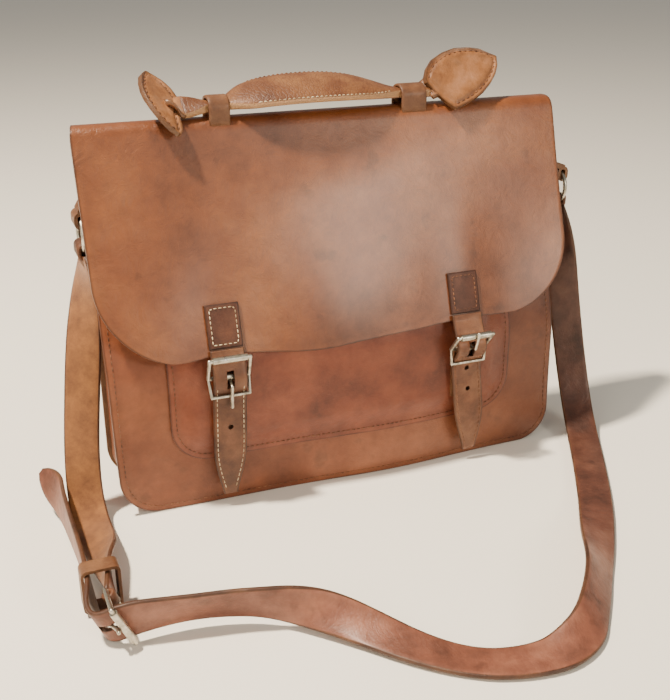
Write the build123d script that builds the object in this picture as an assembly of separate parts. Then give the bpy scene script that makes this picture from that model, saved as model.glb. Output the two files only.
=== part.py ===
"""Leather satchel: body, flap, two strap-and-buckle closures, carrying handle and shoulder strap.

Millimetres.  +X is the wearer's view from the front to the right, -Y is the front, +Z is up.
The origin is the middle of the bottom, where the bag stands.
"""
import math
import os

from build123d import *

os.makedirs("parts", exist_ok=True)

# ---- driving dimensions ------------------------------------------------------------------
PANEL_W = 356.0            # front and back panels, across
GUSSET_W = 350.0           # outside of the gusset, inside the panels' stitched edges
FLAP_W = 370.0
LEATHER = 3.0              # panels and flap
GUSSET_T = 2.5
HALF_DEPTH = 31.0          # base, outside of a panel to the middle
BACK_TOP = 256.0
FRONT_TOP = 238.0
FRONT_BEND_Z = 105.0       # the front panel leans back above this height
FRONT_LEAN = math.radians(18.6)
FRONT_BEND_R = 80.0
CORNER_R = 28.0
GUSSET_TOP = 250.0

RIDGE_Z = 276.0            # top of the folded ridge that carries the handle
RIDGE_FRONT_Y = 11.8
RIDGE_R = 9.0
FLAP_FOOT = (-41.0, 121.5)  # y, z of the flap's lower edge, outside
FLAP_CORNER_R = 58.0
FLAP_START_Z = 258.5         # lower edge of the flap's strip behind the ridge

POCKET_X = (-140.0, 135.0)
POCKET_Z = (38.0, 172.0)
POCKET_T = 2.0
POCKET_GAP = 4.5           # room inside the patch pocket
POCKET_R = 28.0

STRAP_W = 24.6             # closure straps
STRAP_T = 2.6
STRAP_X = {"left": -99.0, "right": 90.0}
STRAP_TIP_Z = 12.0
STRAP_TOP_Z = 126.0
HOLE_D = 4.0
HOLES_Z = {"left": (67.0,), "right": (82.5, 64.6)}
PATCH_Z = (127.0, 157.0)
PATCH_T = 2.0

# A closure buckle's bars, as (y, z): the centre bar, the roller's bar and the lower bar.
BARS = {
    "left": {"centre": (-43.2, 106.0), "roller": (-48.9, 121.5), "lower": (-47.5, 93.0)},
    "right": {"centre": (-47.0, 101.0), "roller": (-57.7, 113.6), "lower": (-47.0, 88.3)},
}
WIRE_R = 1.5
LOWER_WIRE_R = 1.1
UPPER_HALF_W = 14.7
LOWER_HALF_W = 13.9
ROLLER_R = 2.5
ROLLER_BORE = 1.65
ROLLER_L = 25.0
PRONG_R = 1.2
# The tongue's middle line from the centre bar: the knee, the rest and the tip, as (y, z).
PRONG_PATHS = {
    "left": ((-51.8, 101.5), (-50.1, 93.0), (-49.6, 85.0)),
    "right": ((-58.2, 103.5), (-61.9, 113.6), (-62.3, 117.0)),
}
# The closure strap's middle line, as (y, z) corners, and the radius at each inner corner.
CLOSURE_PATHS = {
    "left": (
        (-42.0, 126.0), (-43.9, 120.5), (-49.2, 105.2), (-44.5, 93.0),
        (-43.8, 81.0), (-43.7, 58.0), (-40.2, 12.0),
    ),
    "right": (
        (-42.0, 126.0), (-43.6, 121.4), (-54.7, 101.2), (-43.8, 88.9),
        (-43.8, 80.0), (-43.7, 58.0), (-40.2, 12.0),
    ),
}
CLOSURE_RADII = (5.0, 4.0, 4.0, 20.0, 60.0)
CHAPE_W = 20.0
CHAPE_T = 2.2
CHAPE_SLOT = 6.2

RING_R = 12.4
RING_WIRE_R = 1.6
RING_Z = 203.0
RING_Y = 15.0
RING_X = {"left": -183.4, "right": 199.0}
TAB_W = 16.0
LOOP_T = 2.5
TAB_TOP_Z = 240.5
TAB_ROOT_W = 5.4           # the part of a tab that is sewn to the gusset, behind the panel edge

HANDLE_Y = 20.0
HANDLE_LOOPS = {"left": (-90.0, -75.0), "right": (56.0, 76.0)}

SHOULDER_W = 25.4
SHOULDER_T = 3.0


def save(shape, node):
    export_step(shape, f"parts/{node}.step")


def slab_x(face, x_low, x_high):
    """A face in the YZ plane, drawn out from x_low to x_high."""
    return Pos(x_low, 0, 0) * extrude(face, x_high - x_low, dir=(1, 0, 0))


def closed_yz(points, radius=0.0):
    """A closed outline of (y, z) corners."""
    corners = [(0, y, z) for y, z in points]
    if radius:
        return make_face(FilletPolyline(*corners, radius=radius, close=True))
    return make_face(Polyline(*corners, close=True))


def outline_prism(x_low, x_high, z_low, z_high, radius, y_low=-80.0, y_high=80.0):
    """A panel's front view, rounded at its two lower corners, as a deep prism."""
    k = radius * (1 - math.cos(math.pi / 4))
    edges = Line((x_low, 0, z_high), (x_low, 0, z_low + radius))
    edges += ThreePointArc(
        (x_low, 0, z_low + radius), (x_low + k, 0, z_low + k), (x_low + radius, 0, z_low)
    )
    edges += Line((x_low + radius, 0, z_low), (x_high - radius, 0, z_low))
    edges += ThreePointArc(
        (x_high - radius, 0, z_low), (x_high - k, 0, z_low + k), (x_high, 0, z_low + radius)
    )
    edges += Line((x_high, 0, z_low + radius), (x_high, 0, z_high))
    edges += Line((x_high, 0, z_high), (x_low, 0, z_high))
    return Pos(0, y_low, 0) * extrude(make_face(edges), y_high - y_low, dir=(0, 1, 0))


# ---- front profile -----------------------------------------------------------------------
def front_line(offset, z_top):
    """The front panel's outside, moved outwards by offset, as one line with a soft bend."""
    y = -HALF_DEPTH - offset
    y_top = -HALF_DEPTH + (z_top - FRONT_BEND_Z) * math.tan(FRONT_LEAN)
    y_top -= offset / math.cos(FRONT_LEAN)
    bend_z = FRONT_BEND_Z + offset * math.tan(FRONT_LEAN / 2)
    return FilletPolyline(
        (0, y, 0), (0, y, bend_z), (0, y_top, z_top), radius=FRONT_BEND_R + offset
    )


def front_band(low, high, z_top):
    """The layer between two offsets of the front panel's outside."""
    inner = front_line(low, z_top)
    outer = front_line(high, z_top)
    edges = inner + Line(inner @ 1, outer @ 1) + outer + Line(outer @ 0, inner @ 0)
    return slab_x(make_face(edges), -PANEL_W, PANEL_W)


def ribbon_face(path, thickness):
    """A strip of even thickness that follows a line in the YZ plane."""
    count = 6
    for_arcs = [e for e in path.edges()]
    low = []
    high = []
    for edge in for_arcs:
        steps = 1 if edge.geom_type == GeomType.LINE else count
        for i in range(steps):
            low_high(edge, i / steps, thickness, low, high)
    low_high(for_arcs[-1], 1.0, thickness, low, high)
    return make_face(Polyline(*(low + high[::-1]), close=True))


def low_high(edge, at, thickness, low, high):
    point = edge @ at
    along = edge % at
    side = Vector(0, -along.Z, along.Y) * (thickness / 2)
    low.append(point - side)
    high.append(point + side)


# ---- body --------------------------------------------------------------------------------
def back_panel():
    plate = outline_prism(-PANEL_W / 2, PANEL_W / 2, 0, BACK_TOP, CORNER_R)
    return plate & slab_x(
        closed_yz([
            (HALF_DEPTH - LEATHER, 0), (HALF_DEPTH, 0),
            (HALF_DEPTH, BACK_TOP), (HALF_DEPTH - LEATHER, BACK_TOP),
        ]), -PANEL_W, PANEL_W,
    )


def front_panel():
    plate = outline_prism(-PANEL_W / 2, PANEL_W / 2, 0, FRONT_TOP, CORNER_R)
    return plate & front_band(-LEATHER, 0, FRONT_TOP + 10)


def gusset():
    """One strip up one side, along the bottom and up the other side."""
    half = GUSSET_W / 2
    radius = CORNER_R - 3
    outside = outline_prism(-half, half, 0, GUSSET_TOP, radius)
    inside = outline_prism(
        GUSSET_T - half, half - GUSSET_T, GUSSET_T, GUSSET_TOP + 10, radius - GUSSET_T
    )
    inner = front_line(-LEATHER, GUSSET_TOP + 10)
    back = HALF_DEPTH - LEATHER
    room = inner + Line(inner @ 1, (0, back, GUSSET_TOP + 10))
    room += Line((0, back, GUSSET_TOP + 10), (0, back, 0)) + Line((0, back, 0), inner @ 0)
    return (outside - inside) & slab_x(make_face(room), -PANEL_W, PANEL_W)


def front_pocket():
    x_low, x_high = POCKET_X
    z_low, z_high = POCKET_Z
    outside = outline_prism(x_low, x_high, z_low, z_high, POCKET_R)
    inside = outline_prism(
        x_low + POCKET_T, x_high - POCKET_T, z_low + POCKET_T, z_high + 10, POCKET_R - POCKET_T
    )
    whole = outside & front_band(0, POCKET_GAP + POCKET_T, FRONT_TOP)
    return whole - (inside & front_band(-1, POCKET_GAP, FRONT_TOP))


# ---- flap --------------------------------------------------------------------------------
def flap_slope():
    return (RIDGE_FRONT_Y - FLAP_FOOT[0]) / (RIDGE_Z - FLAP_FOOT[1])


def flap_y(z, outwards=0.0):
    """y of the flap's outside at height z, or of a line that far outside it."""
    slope = flap_slope()
    return RIDGE_FRONT_Y - (RIDGE_Z - z) * slope - outwards * math.sqrt(1 + slope * slope)


def flap_band(low, high, z_low):
    """A layer of the flap, between two distances inside its outer face."""
    lean = math.atan(flap_slope())
    lines = []
    for depth in (low, high):
        foot_y = flap_y(z_low) + depth * math.cos(lean)
        foot_z = z_low - depth * math.sin(lean)
        crest_y = flap_y(RIDGE_Z - depth, -depth)
        back = HALF_DEPTH - depth
        lines.append(FilletPolyline(
            (0, back, FLAP_START_Z), (0, back, RIDGE_Z - depth),
            (0, crest_y, RIDGE_Z - depth), (0, foot_y, foot_z), radius=RIDGE_R - depth,
        ))
    outer, inner = lines
    return outer + Line(outer @ 1, inner @ 1) + inner + Line(inner @ 0, outer @ 0)


def flap():
    sheet = slab_x(make_face(flap_band(0, LEATHER, FLAP_FOOT[1])), -FLAP_W, FLAP_W)
    view = outline_prism(
        -FLAP_W / 2, FLAP_W / 2, FLAP_FOOT[1] - 1.5, RIDGE_Z + 10, FLAP_CORNER_R
    )
    return sheet & view


def strap_patch(x):
    """The sewn upper end of a closure strap, flat on the flap."""
    z_low, z_high = PATCH_Z
    corners = [
        (flap_y(z_low), z_low), (flap_y(z_high), z_high),
        (flap_y(z_high, PATCH_T), z_high), (flap_y(z_low, PATCH_T), z_low),
    ]
    return slab_x(closed_yz(corners), x - STRAP_W / 2, x + STRAP_W / 2)


# ---- handle ------------------------------------------------------------------------------
GRIP_TILT = 18.0           # degrees: the grip's front edge hangs lower than its back edge
GRIP = [                   # x, height of the middle, width, thickness, share of the tilt
    (-107.0, 282.8, 13.0, 7.0, 0.0), (-76.0, 283.6, 13.2, 7.4, 0.0),
    (-62.0, 286.4, 23.0, 9.0, 0.6), (-40.0, 290.0, 36.0, 10.5, 1.0),
    (-11.0, 291.5, 43.0, 11.5, 1.0), (18.0, 290.2, 36.0, 10.5, 1.0),
    (36.0, 287.0, 24.0, 9.0, 0.6), (48.0, 284.0, 13.2, 7.4, 0.0), (81.0, 284.2, 13.0, 7.0, 0.0),
]
CORE = [
    (-58.0, 287.2, 15.0, 3.0, 0.6), (-40.0, 290.0, 28.0, 5.0, 1.0), (-11.0, 291.5, 36.0, 6.0, 1.0),
    (18.0, 290.2, 28.0, 5.0, 1.0), (34.0, 287.4, 15.0, 3.0, 0.6),
]
# A handle end is a flat leaf.  Each row is a distance along its chord, and how far its edge
# stands from the chord on either side there.
LEAVES = {
    "left": {
        "start": (-114.3, -2.4, 269.2), "along": (-0.195, 0.76, 0.62),
        "up": (0.843, 0.454, -0.291),
        "edge": [(0, 2, 2), (8, 9, 5), (14, 13, 5), (20, 16, 8), (32, 17, 15), (44, 13, 13),
                 (53, 7, 7), (58, 1, 1)],
    },
    "right": {
        "start": (95.6, 6.5, 272.5), "along": (0.768, 0.332, 0.546),
        "up": (-0.638, 0.445, 0.628),
        "edge": [(0, 1, 29), (6, 4, 32), (18, 8, 35), (33, 10, 31), (46, 8, 22), (55, 4, 12),
                 (60, 0.5, 1)],
    },
}
LEAF_T = 6.0


def handle_loop(x_low, x_high):
    """A leather loop sewn through the ridge, over the handle's neck."""
    wall = 2.5
    half = 7.2
    top = 288.3
    outer = closed_yz([
        (HANDLE_Y - half - wall, RIDGE_Z - 9), (HANDLE_Y + half + wall, RIDGE_Z - 9),
        (HANDLE_Y + half + wall, top + wall), (HANDLE_Y - half - wall, top + wall),
    ], 3.5)
    inner = closed_yz([
        (HANDLE_Y - half, RIDGE_Z - 12), (HANDLE_Y + half, RIDGE_Z - 12),
        (HANDLE_Y + half, top), (HANDLE_Y - half, top),
    ], 2.0)
    loop = slab_x(outer, x_low, x_high) - slab_x(inner, x_low - 1, x_high + 1)
    return loop - flap_core()


def flap_core():
    """Everything inside the flap's outer face, near the ridge."""
    outer = FilletPolyline(
        (0, HALF_DEPTH, BACK_TOP - 20), (0, HALF_DEPTH, RIDGE_Z),
        (0, RIDGE_FRONT_Y, RIDGE_Z), (0, flap_y(BACK_TOP - 20), BACK_TOP - 20), radius=RIDGE_R,
    )
    return slab_x(make_face(outer + Line(outer @ 1, outer @ 0)), -FLAP_W, FLAP_W)


def pad_section(x, z, width, height, tilt):
    """One cross-section of the handle: an oval in the YZ plane, tipped towards the front."""
    turn = math.radians(GRIP_TILT * tilt)
    across = (0, math.cos(turn), math.sin(turn))
    return Plane(origin=(x, HANDLE_Y, z), x_dir=across, z_dir=(1, 0, 0)) * Ellipse(
        width / 2, height / 2
    )


def leaf(side):
    shape = LEAVES[side]
    along = Vector(*shape["along"]).normalized()
    up = Vector(*shape["up"])
    up = (up - along * up.dot(along)).normalized()
    plane = Plane(origin=shape["start"], x_dir=along, z_dir=along.cross(up))
    low = [(reach, -below) for reach, below, _ in shape["edge"]]
    high = [(reach, above) for reach, _, above in shape["edge"]]
    outline = make_face(Polyline(*(low + high[::-1]), close=True))
    return plane * extrude(outline, LEAF_T / 2, both=True)


def neck_to(side):
    """The short piece from the end of the handle's neck into its leaf."""
    if side == "left":
        return stick((-104.0, HANDLE_Y, 282.9), (-111.0, 24.0, 281.8), 3.4)
    return stick((78.0, HANDLE_Y, 284.2), (84.0, 18.5, 286.0), 3.4)


def handle_parts():
    pad = loft([pad_section(*row) for row in GRIP])
    core = loft([pad_section(*row) for row in CORE])
    turn = math.radians(GRIP_TILT)
    tipped = Plane(
        origin=(0, HANDLE_Y, 290), x_dir=(1, 0, 0), z_dir=(0, -math.cos(turn), -math.sin(turn))
    )
    under = make_face(
        ThreePointArc((-66, -7.5), (-11, -1.9), (40, -7.5)) + Line((40, -7.5), (40, -25))
        + Line((40, -25), (-66, -25)) + Line((-66, -25), (-66, -7.5))
    )
    below = tipped * extrude(under, 40, both=True)
    lining = pad & below
    top = pad - below - core
    for side in ("left", "right"):
        top = top + leaf(side) + neck_to(side)
    return {"handle_top": top, "handle_lining": lining, "handle_core": core}


# ---- closure buckles ---------------------------------------------------------------------
def bar(side, name, reach=0.0):
    """One end of a buckle's bar, reach millimetres to the right of the strap's middle."""
    y, z = BARS[side][name]
    return (STRAP_X[side] + reach, y, z)


def stick(start, end, radius=WIRE_R):
    """A round bar with flat ends."""
    start = Vector(start)
    along = Vector(end) - start
    return Plane(origin=start, z_dir=along) * Cylinder(
        radius, along.length, align=(Align.CENTER, Align.CENTER, Align.MIN)
    )


def ball(centre, radius=WIRE_R):
    return Pos(*Vector(centre)) * Sphere(radius)


def rod(start, end, radius=WIRE_R):
    """A round bar with ball ends."""
    return stick(start, end, radius) + ball(start, radius) + ball(end, radius)


def buckle_frame(side):
    """A bent wire frame with three bars, thinner below its centre bar."""
    wide = UPPER_HALF_W
    narrow = LOWER_HALF_W
    upper = rod(bar(side, "roller", -wide), bar(side, "roller", wide))
    upper += rod(bar(side, "centre", -wide), bar(side, "centre", wide))
    lower = rod(bar(side, "lower", -narrow), bar(side, "lower", narrow), LOWER_WIRE_R)
    for sign in (-1, 1):
        corner = bar(side, "centre", sign * wide)
        upper += stick(bar(side, "roller", sign * wide), corner)
        lower += stick(corner, bar(side, "lower", sign * narrow), LOWER_WIRE_R)
    return upper + lower


def tube_x(x, y, z, length, outer, bore):
    ring = Cylinder(outer, length) - Cylinder(bore, length + 1)
    return Pos(x, y, z) * Rot(0, 90, 0) * ring


def buckle_roller(side):
    return tube_x(*bar(side, "roller"), ROLLER_L, ROLLER_R, ROLLER_BORE)


def buckle_prong(side):
    """A tongue on the centre bar that comes out through the strap and rests on another bar."""
    x = STRAP_X[side]
    y, z = BARS[side]["centre"]
    knee, rest, tip = [(x, *point) for point in PRONG_PATHS[side]]
    start = (Vector(knee) - Vector(x, y, z)).normalized() * 2.4 + Vector(x, y, z)
    arm = rod(start, knee, PRONG_R) + stick(knee, rest, PRONG_R) + rod(rest, tip, PRONG_R)
    eye = tube_x(x, y, z, 4.6, WIRE_R + 1.5, WIRE_R + 0.1)
    bore = Pos(x, y, z) * Rot(0, 90, 0) * Cylinder(WIRE_R + 0.1, 8)
    return eye + (arm - bore)


def buckle_chape(side):
    """Leather sewn to the front, folded round the centre bar, slotted for the prong."""
    x, y, z = bar(side, "centre")
    face = -HALF_DEPTH - POCKET_GAP - POCKET_T
    outer = face - 2 * CHAPE_T
    bore = WIRE_R + 0.25
    if side == "left":
        rise = [(face, 104.0), (y + 2.2, z + 2.0), (y + 1.6, z - 2.0), (outer, 100.0)]
    else:
        rise = [(face, 84.0), (y + 3.4, z + 3.0), (y + 2.8, z - 3.0), (outer, 89.0)]
    legs = slab_x(
        closed_yz([(face, 58.0)] + rise + [(outer, 58.0)]), x - CHAPE_W / 2, x + CHAPE_W / 2
    )
    room = Pos(x, y, z) * Rot(0, 90, 0) * Cylinder(bore, CHAPE_W + 1)
    fold = tube_x(x, y, z, CHAPE_W, bore + CHAPE_T, bore)
    slot = Pos(x, y - 1, z) * Box(CHAPE_SLOT, 9.4, 12)
    return (legs - room) + fold - slot


def closure_strap(side):
    """The free part of a closure strap: under the roller, over the centre bar, down to its tip."""
    x = STRAP_X[side]
    corners = [(0, y, z) for y, z in CLOSURE_PATHS[side]]
    path = FilletPolyline(*corners, radius=list(CLOSURE_RADII))
    band = slab_x(ribbon_face(path, STRAP_T), x - STRAP_W / 2, x + STRAP_W / 2)
    tip = STRAP_TIP_Z
    half = STRAP_W / 2
    outline = make_face(Polyline(
        (x - half, 0, 140), (x - half, 0, tip + 36), (x - 5, 0, tip - 2), (x + 5, 0, tip - 2),
        (x + half, 0, tip + 36), (x + half, 0, 140), close=True,
    ))
    band = band & (Pos(0, -75, 0) * extrude(outline, 60, dir=(0, 1, 0)))
    for hole_z in HOLES_Z[side]:
        hole = Rot(90, 0, 0) * Cylinder(HOLE_D / 2, 30)
        band -= Pos(x, -42, hole_z) * hole
    _, bar_z = BARS[side]["centre"]
    return band - Pos(x, -52, bar_z - 1.0) * Box(5.0, 16, 10)


# ---- side rings --------------------------------------------------------------------------
def side_ring(side):
    return Pos(RING_X[side], RING_Y, RING_Z) * Rot(0, 90, 0) * Torus(RING_R, RING_WIRE_R)


def fold_loop(x, y, z_ring, width, up):
    """A flat leather eye round the ring's wire, long enough for the ring's curve."""
    half = width / 2
    rise = RING_R - math.sqrt(RING_R * RING_R - half * half)
    bore = RING_WIRE_R + 0.5
    centre_low = z_ring - (rise if up else 0)
    centre_high = z_ring + (0 if up else rise)
    middle = (centre_low + centre_high) / 2
    length = centre_high - centre_low
    eye = SlotCenterToCenter(length, 2 * (bore + LOOP_T), rotation=90)
    eye -= SlotCenterToCenter(length, 2 * bore, rotation=90)
    body = Plane.XZ * eye
    return Pos(x, y + half, middle) * extrude(body, width)


def side_tab(side):
    """A tab sewn to the gusset, which flares past the panel's edge to the ring that it holds."""
    sign = -1 if side == "left" else 1
    wall = sign * GUSSET_W / 2
    ring = RING_X[side]
    top_of_ring = RING_Z + RING_R
    loop = fold_loop(ring, RING_Y, top_of_ring, TAB_W, True)
    inner = sign * (PANEL_W / 2 + 0.4)
    outer = inner + sign * LOOP_T
    high = top_of_ring + 4.0
    corners = [
        (inner, TAB_TOP_Z), (outer, TAB_TOP_Z), (outer, high + 8.0), (ring + sign * 1.6, high + 1.5),
        (ring + sign * 1.6, high - 1.5), (ring - sign * 1.6, high - 1.5), (inner, high + 3.0),
    ]
    face = make_face(Polyline(*[(cx, 0, cz) for cx, cz in corners], close=True))
    strip = Pos(0, RING_Y - TAB_W / 2, 0) * extrude(face, TAB_W, dir=(0, 1, 0))
    root_y = RING_Y + TAB_W / 2 - TAB_ROOT_W / 2
    root = Pos((wall + outer) / 2, root_y, 232.5) * Box(abs(outer - wall), TAB_ROOT_W, 15.0)
    return strip + loop + root


# ---- shoulder strap ----------------------------------------------------------------------
# Each row is a point of the strap's middle line, and the direction across its width there.
LONG_STRAP = [
    ((199.0, 15.0, 187.3), (0.0, 1.0, 0.0)),
    ((203.0, 10.0, 160.0), (-0.55, 0.83, 0.0)),
    ((207.0, 4.0, 117.0), (-0.93, 0.37, 0.0)),
    ((213.0, -5.0, 61.0), (-0.93, 0.37, 0.0)),
    ((213.0, -22.0, 20.0), (-0.93, 0.37, 0.0)),
    ((203.0, -48.0, 5.0), (-0.92, 0.38, 0.0)),
    ((194.0, -66.0, 3.0), (-0.9, 0.42, 0.0)),
    ((173.0, -104.0, 3.0), (-0.86, 0.5, 0.0)),
    ((149.0, -145.0, 3.5), (-0.83, 0.55, 0.05)),
    ((124.0, -182.0, 6.5), (-0.78, 0.55, 0.30)),
    ((99.0, -219.0, 10.8), (-0.5, 0.5, 0.72)),
    ((85.0, -238.0, 11.4), (-0.45, 0.5, 0.74)),
    ((71.0, -254.5, 11.0), (-0.4, 0.58, 0.70)),
    ((58.0, -268.0, 9.5), (-0.3, 0.75, 0.56)),
    ((42.0, -276.0, 6.8), (-0.1, 0.93, 0.34)),
    ((24.0, -279.0, 4.2), (0.1, 0.99, 0.08)),
    ((-5.0, -273.0, 3.0), (0.25, 0.97, 0.0)),
    ((-27.0, -260.0, 3.0), (0.55, 0.83, 0.0)),
    ((-47.0, -242.0, 5.0), (0.7, 0.7, 0.1)),
    ((-65.0, -222.0, 8.5), (0.68, 0.65, 0.34)),
    ((-84.0, -205.0, 14.0), (0.4, 0.55, 0.73)),
    ((-104.0, -194.5, 18.5), (0.1, 0.1, 0.99)),
    ((-123.0, -186.5, 20.0), (-0.1, -0.2, 0.97)),
    ((-142.0, -180.0, 20.0), (-0.08, -0.3, 0.95)),
    ((-162.0, -176.0, 20.0), (-0.15, -0.33, 0.93)),
    ((-183.0, -173.5, 20.0), (-0.35, -0.2, 0.92)),
    ((-203.0, -172.2, 19.5), (-0.42, 0.0, 0.907)),
    ((-216.5, -168.8, 13.6), (-0.42, 0.0, 0.907)),
    ((-220.0, -157.0, 14.8), (-0.38, 0.0, 0.92)),
    ((-218.2, -143.0, 17.4), (-0.2, 0.0, 0.98)),
    ((-217.3, -128.0, 18.6), (-0.12, 0.0, 0.99)),
    ((-217.5, -98.0, 18.0), (-0.05, 0.0, 1.0)),
    ((-218.5, -57.0, 16.0), (0.0, 0.0, 1.0)),
    ((-220.0, -25.0, 18.0), (0.1, 0.0, 0.99)),
    ((-223.5, -5.0, 25.0), (0.35, 0.1, 0.9)),
    ((-229.0, 8.0, 30.0), (0.5, 0.2, 0.8)),
]
SHORT_STRAP = [
    ((-183.4, 15.0, 187.3), (0.0, -1.0, 0.0)),
    ((-185.5, 9.0, 160.0), (0.6, -0.8, 0.0)),
    ((-191.5, 0.0, 124.0), (0.93, -0.37, 0.0)),
    ((-196.5, -3.0, 87.0), (0.93, -0.37, 0.0)),
    ((-201.0, -8.0, 51.0), (0.93, -0.37, 0.0)),
    ((-203.0, -16.0, 20.0), (0.95, -0.2, 0.0)),
    ((-202.5, -32.0, 5.5), (0.98, -0.1, 0.1)),
    ((-202.0, -55.0, 5.5), (0.95, 0.0, 0.25)),
    ((-202.0, -85.0, 11.5), (0.75, 0.0, 0.66)),
    ((-203.5, -110.0, 16.0), (0.25, 0.0, 0.97)),
    ((-205.0, -134.0, 18.0), (-0.15, 0.0, 0.99)),
    ((-205.5, -153.0, 18.3), (-0.42, 0.0, 0.907)),
]
SECTION_STEP = 7.0


def corner_radii(points, limit=400.0):
    """Each corner's arc, as large as the shorter of its two runs allows."""
    radii = []
    for before, here, after in zip(points, points[1:], points[2:]):
        first = Vector(*here) - Vector(*before)
        second = Vector(*after) - Vector(*here)
        half_turn = math.radians(first.get_angle(second)) / 2
        run = min(first.length, second.length)
        radii.append(min(0.45 * run / math.tan(half_turn), limit))
    return radii


def strap_solid(rows, width, thickness, name):
    """A flat strap along its middle line, turned to lie across the given directions."""
    points = [row[0] for row in rows]
    radii = corner_radii(points)
    print(name, "radii", [round(r) for r in radii])
    path = FilletPolyline(*points, radius=radii)
    runs = [0.0]
    for a, b in zip(points, points[1:]):
        runs.append(runs[-1] + (Vector(*b) - Vector(*a)).length)
    count = max(8, math.ceil(path.length / SECTION_STEP))
    sections = []
    for i in range(count + 1):
        at = i / count
        along = path % at
        across = across_at(rows, runs, at * runs[-1])
        across = across - along * across.dot(along)
        plane = Plane(origin=path @ at, x_dir=across, z_dir=along)
        sections.append(plane * Rectangle(width, thickness))
    solid = loft(sections, ruled=True)
    share = solid.volume / (width * thickness * path.length)
    print(name, "length", round(path.length, 1), "volume share", round(share, 3))
    return solid


def across_at(rows, runs, distance):
    for i in range(len(rows) - 1):
        if distance <= runs[i + 1] or i == len(rows) - 2:
            part = (distance - runs[i]) / (runs[i + 1] - runs[i])
            part = min(max(part, 0.0), 1.0)
            low = Vector(*rows[i][1])
            high = Vector(*rows[i + 1][1])
            return (low * (1 - part) + high * part).normalized()
    return Vector(*rows[-1][1])


def ring_eye(side):
    """The strap's folded end round the ring's lower side."""
    bottom = RING_Z - RING_R
    return fold_loop(RING_X[side], RING_Y, bottom, TAB_W, False)


# The shoulder buckle stands on edge: its bars lean to the left, its heel bar is behind.
BUCKLE_UP = Vector(-0.42, 0.0, 0.907).normalized()
BUCKLE_ROLLER = Vector(-205.5, -177.0, 18.3)
BUCKLE_LENGTH = 21.0
BUCKLE_HALF = 14.6


def buckle_back():
    back = Vector(0.0, 1.0, 0.0)
    return (back - BUCKLE_UP * back.dot(BUCKLE_UP)).normalized()


def buckle_side():
    """Outwards from the buckle's plane, to the side where the strap lies over the heel bar."""
    return BUCKLE_UP.cross(buckle_back()).normalized()


def buckle_heel():
    return BUCKLE_ROLLER + buckle_back() * BUCKLE_LENGTH


def strap_buckle_frame():
    """A rectangle of wire: the roller's bar in front, the heel bar behind."""
    half = BUCKLE_UP * BUCKLE_HALF
    frame = rod(BUCKLE_ROLLER - half, BUCKLE_ROLLER + half)
    frame += rod(buckle_heel() - half, buckle_heel() + half)
    for side in (-half, half):
        frame += stick(BUCKLE_ROLLER + side, buckle_heel() + side)
    return frame


def bar_plane(centre):
    return Plane(origin=centre, x_dir=buckle_back(), z_dir=BUCKLE_UP)


def strap_buckle_roller():
    tube = Cylinder(ROLLER_R, 25.0) - Cylinder(ROLLER_BORE, 26.0)
    return bar_plane(BUCKLE_ROLLER) * tube


def strap_buckle_prong():
    """A tongue on the heel bar: through the strap, resting on the roller."""
    eye = Cylinder(WIRE_R + 1.5, 4.6) - Cylinder(WIRE_R + 0.1, 5)
    rest = BUCKLE_ROLLER + buckle_side() * (ROLLER_R + PRONG_R + 0.15)
    knee = buckle_heel() + buckle_side() * 9.2 - buckle_back() * 6.0
    start = buckle_heel() + buckle_side() * 2.4
    arm = rod(start, knee, PRONG_R) + stick(knee, rest, PRONG_R)
    arm += rod(rest, rest - buckle_back() * 2.5, PRONG_R)
    bore = bar_plane(buckle_heel()) * Cylinder(WIRE_R + 0.1, 8)
    return bar_plane(buckle_heel()) * eye + (arm - bore)


def heel_fold():
    """The short strap's end, folded round the heel bar."""
    bore = WIRE_R + 0.35
    fold = Cylinder(bore + 2.4, SHOULDER_W - 1) - Cylinder(bore, SHOULDER_W)
    return bar_plane(buckle_heel()) * fold


def strap_keeper():
    """A loop that holds the long strap's tail against the short strap."""
    centre = Vector(-211.1, -131.0, 18.3)
    plane = Plane(origin=centre, x_dir=(1, 0, 0), z_dir=(0, 1, 0))
    outer = RectangleRounded(24.6, 31.6, 4)
    inner = RectangleRounded(20.6, 27.6, 2.5)
    return plane * extrude(outer - inner, 6.0, both=True)


def long_strap():
    solid = strap_solid(LONG_STRAP, SHOULDER_W, SHOULDER_T, "shoulder_strap_long")
    hole_centre = (BUCKLE_ROLLER + buckle_heel()) / 2 + buckle_side() * 5.0
    opening = bar_plane(hole_centre) * Box(17, 17, 4.6)
    return solid + ring_eye("right") - opening


def short_strap():
    solid = strap_solid(SHORT_STRAP, SHOULDER_W - 0.6, SHOULDER_T, "shoulder_strap_short")
    clear = bar_plane(buckle_heel()) * Cylinder(WIRE_R + 0.35, 60)
    slot = bar_plane(buckle_heel()) * Box(14, 14, CHAPE_SLOT)
    return solid + ring_eye("left") + heel_fold() - clear - slot


# ---- write every node --------------------------------------------------------------------
save(back_panel(), "back_panel")
save(front_panel(), "front_panel")
save(gusset(), "gusset")
save(front_pocket(), "front_pocket")
save(flap(), "flap")
for name, limits in HANDLE_LOOPS.items():
    save(handle_loop(*limits), f"handle_loop_{name}")
for name, piece in handle_parts().items():
    save(piece, name)
for name in ("left", "right"):
    save(strap_patch(STRAP_X[name]), f"strap_patch_{name}")
    save(closure_strap(name), f"closure_strap_{name}")
    save(buckle_chape(name), f"buckle_chape_{name}")
    save(buckle_frame(name), f"buckle_frame_{name}")
    save(buckle_roller(name), f"buckle_roller_{name}")
    save(buckle_prong(name), f"buckle_prong_{name}")
    save(side_ring(name), f"side_ring_{name}")
    save(side_tab(name), f"side_tab_{name}")
save(long_strap(), "shoulder_strap_long")
save(short_strap(), "shoulder_strap_short")
save(strap_buckle_frame(), "strap_buckle_frame")
save(strap_buckle_roller(), "strap_buckle_roller")
save(strap_buckle_prong(), "strap_buckle_prong")
save(strap_keeper(), "strap_keeper")
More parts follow.
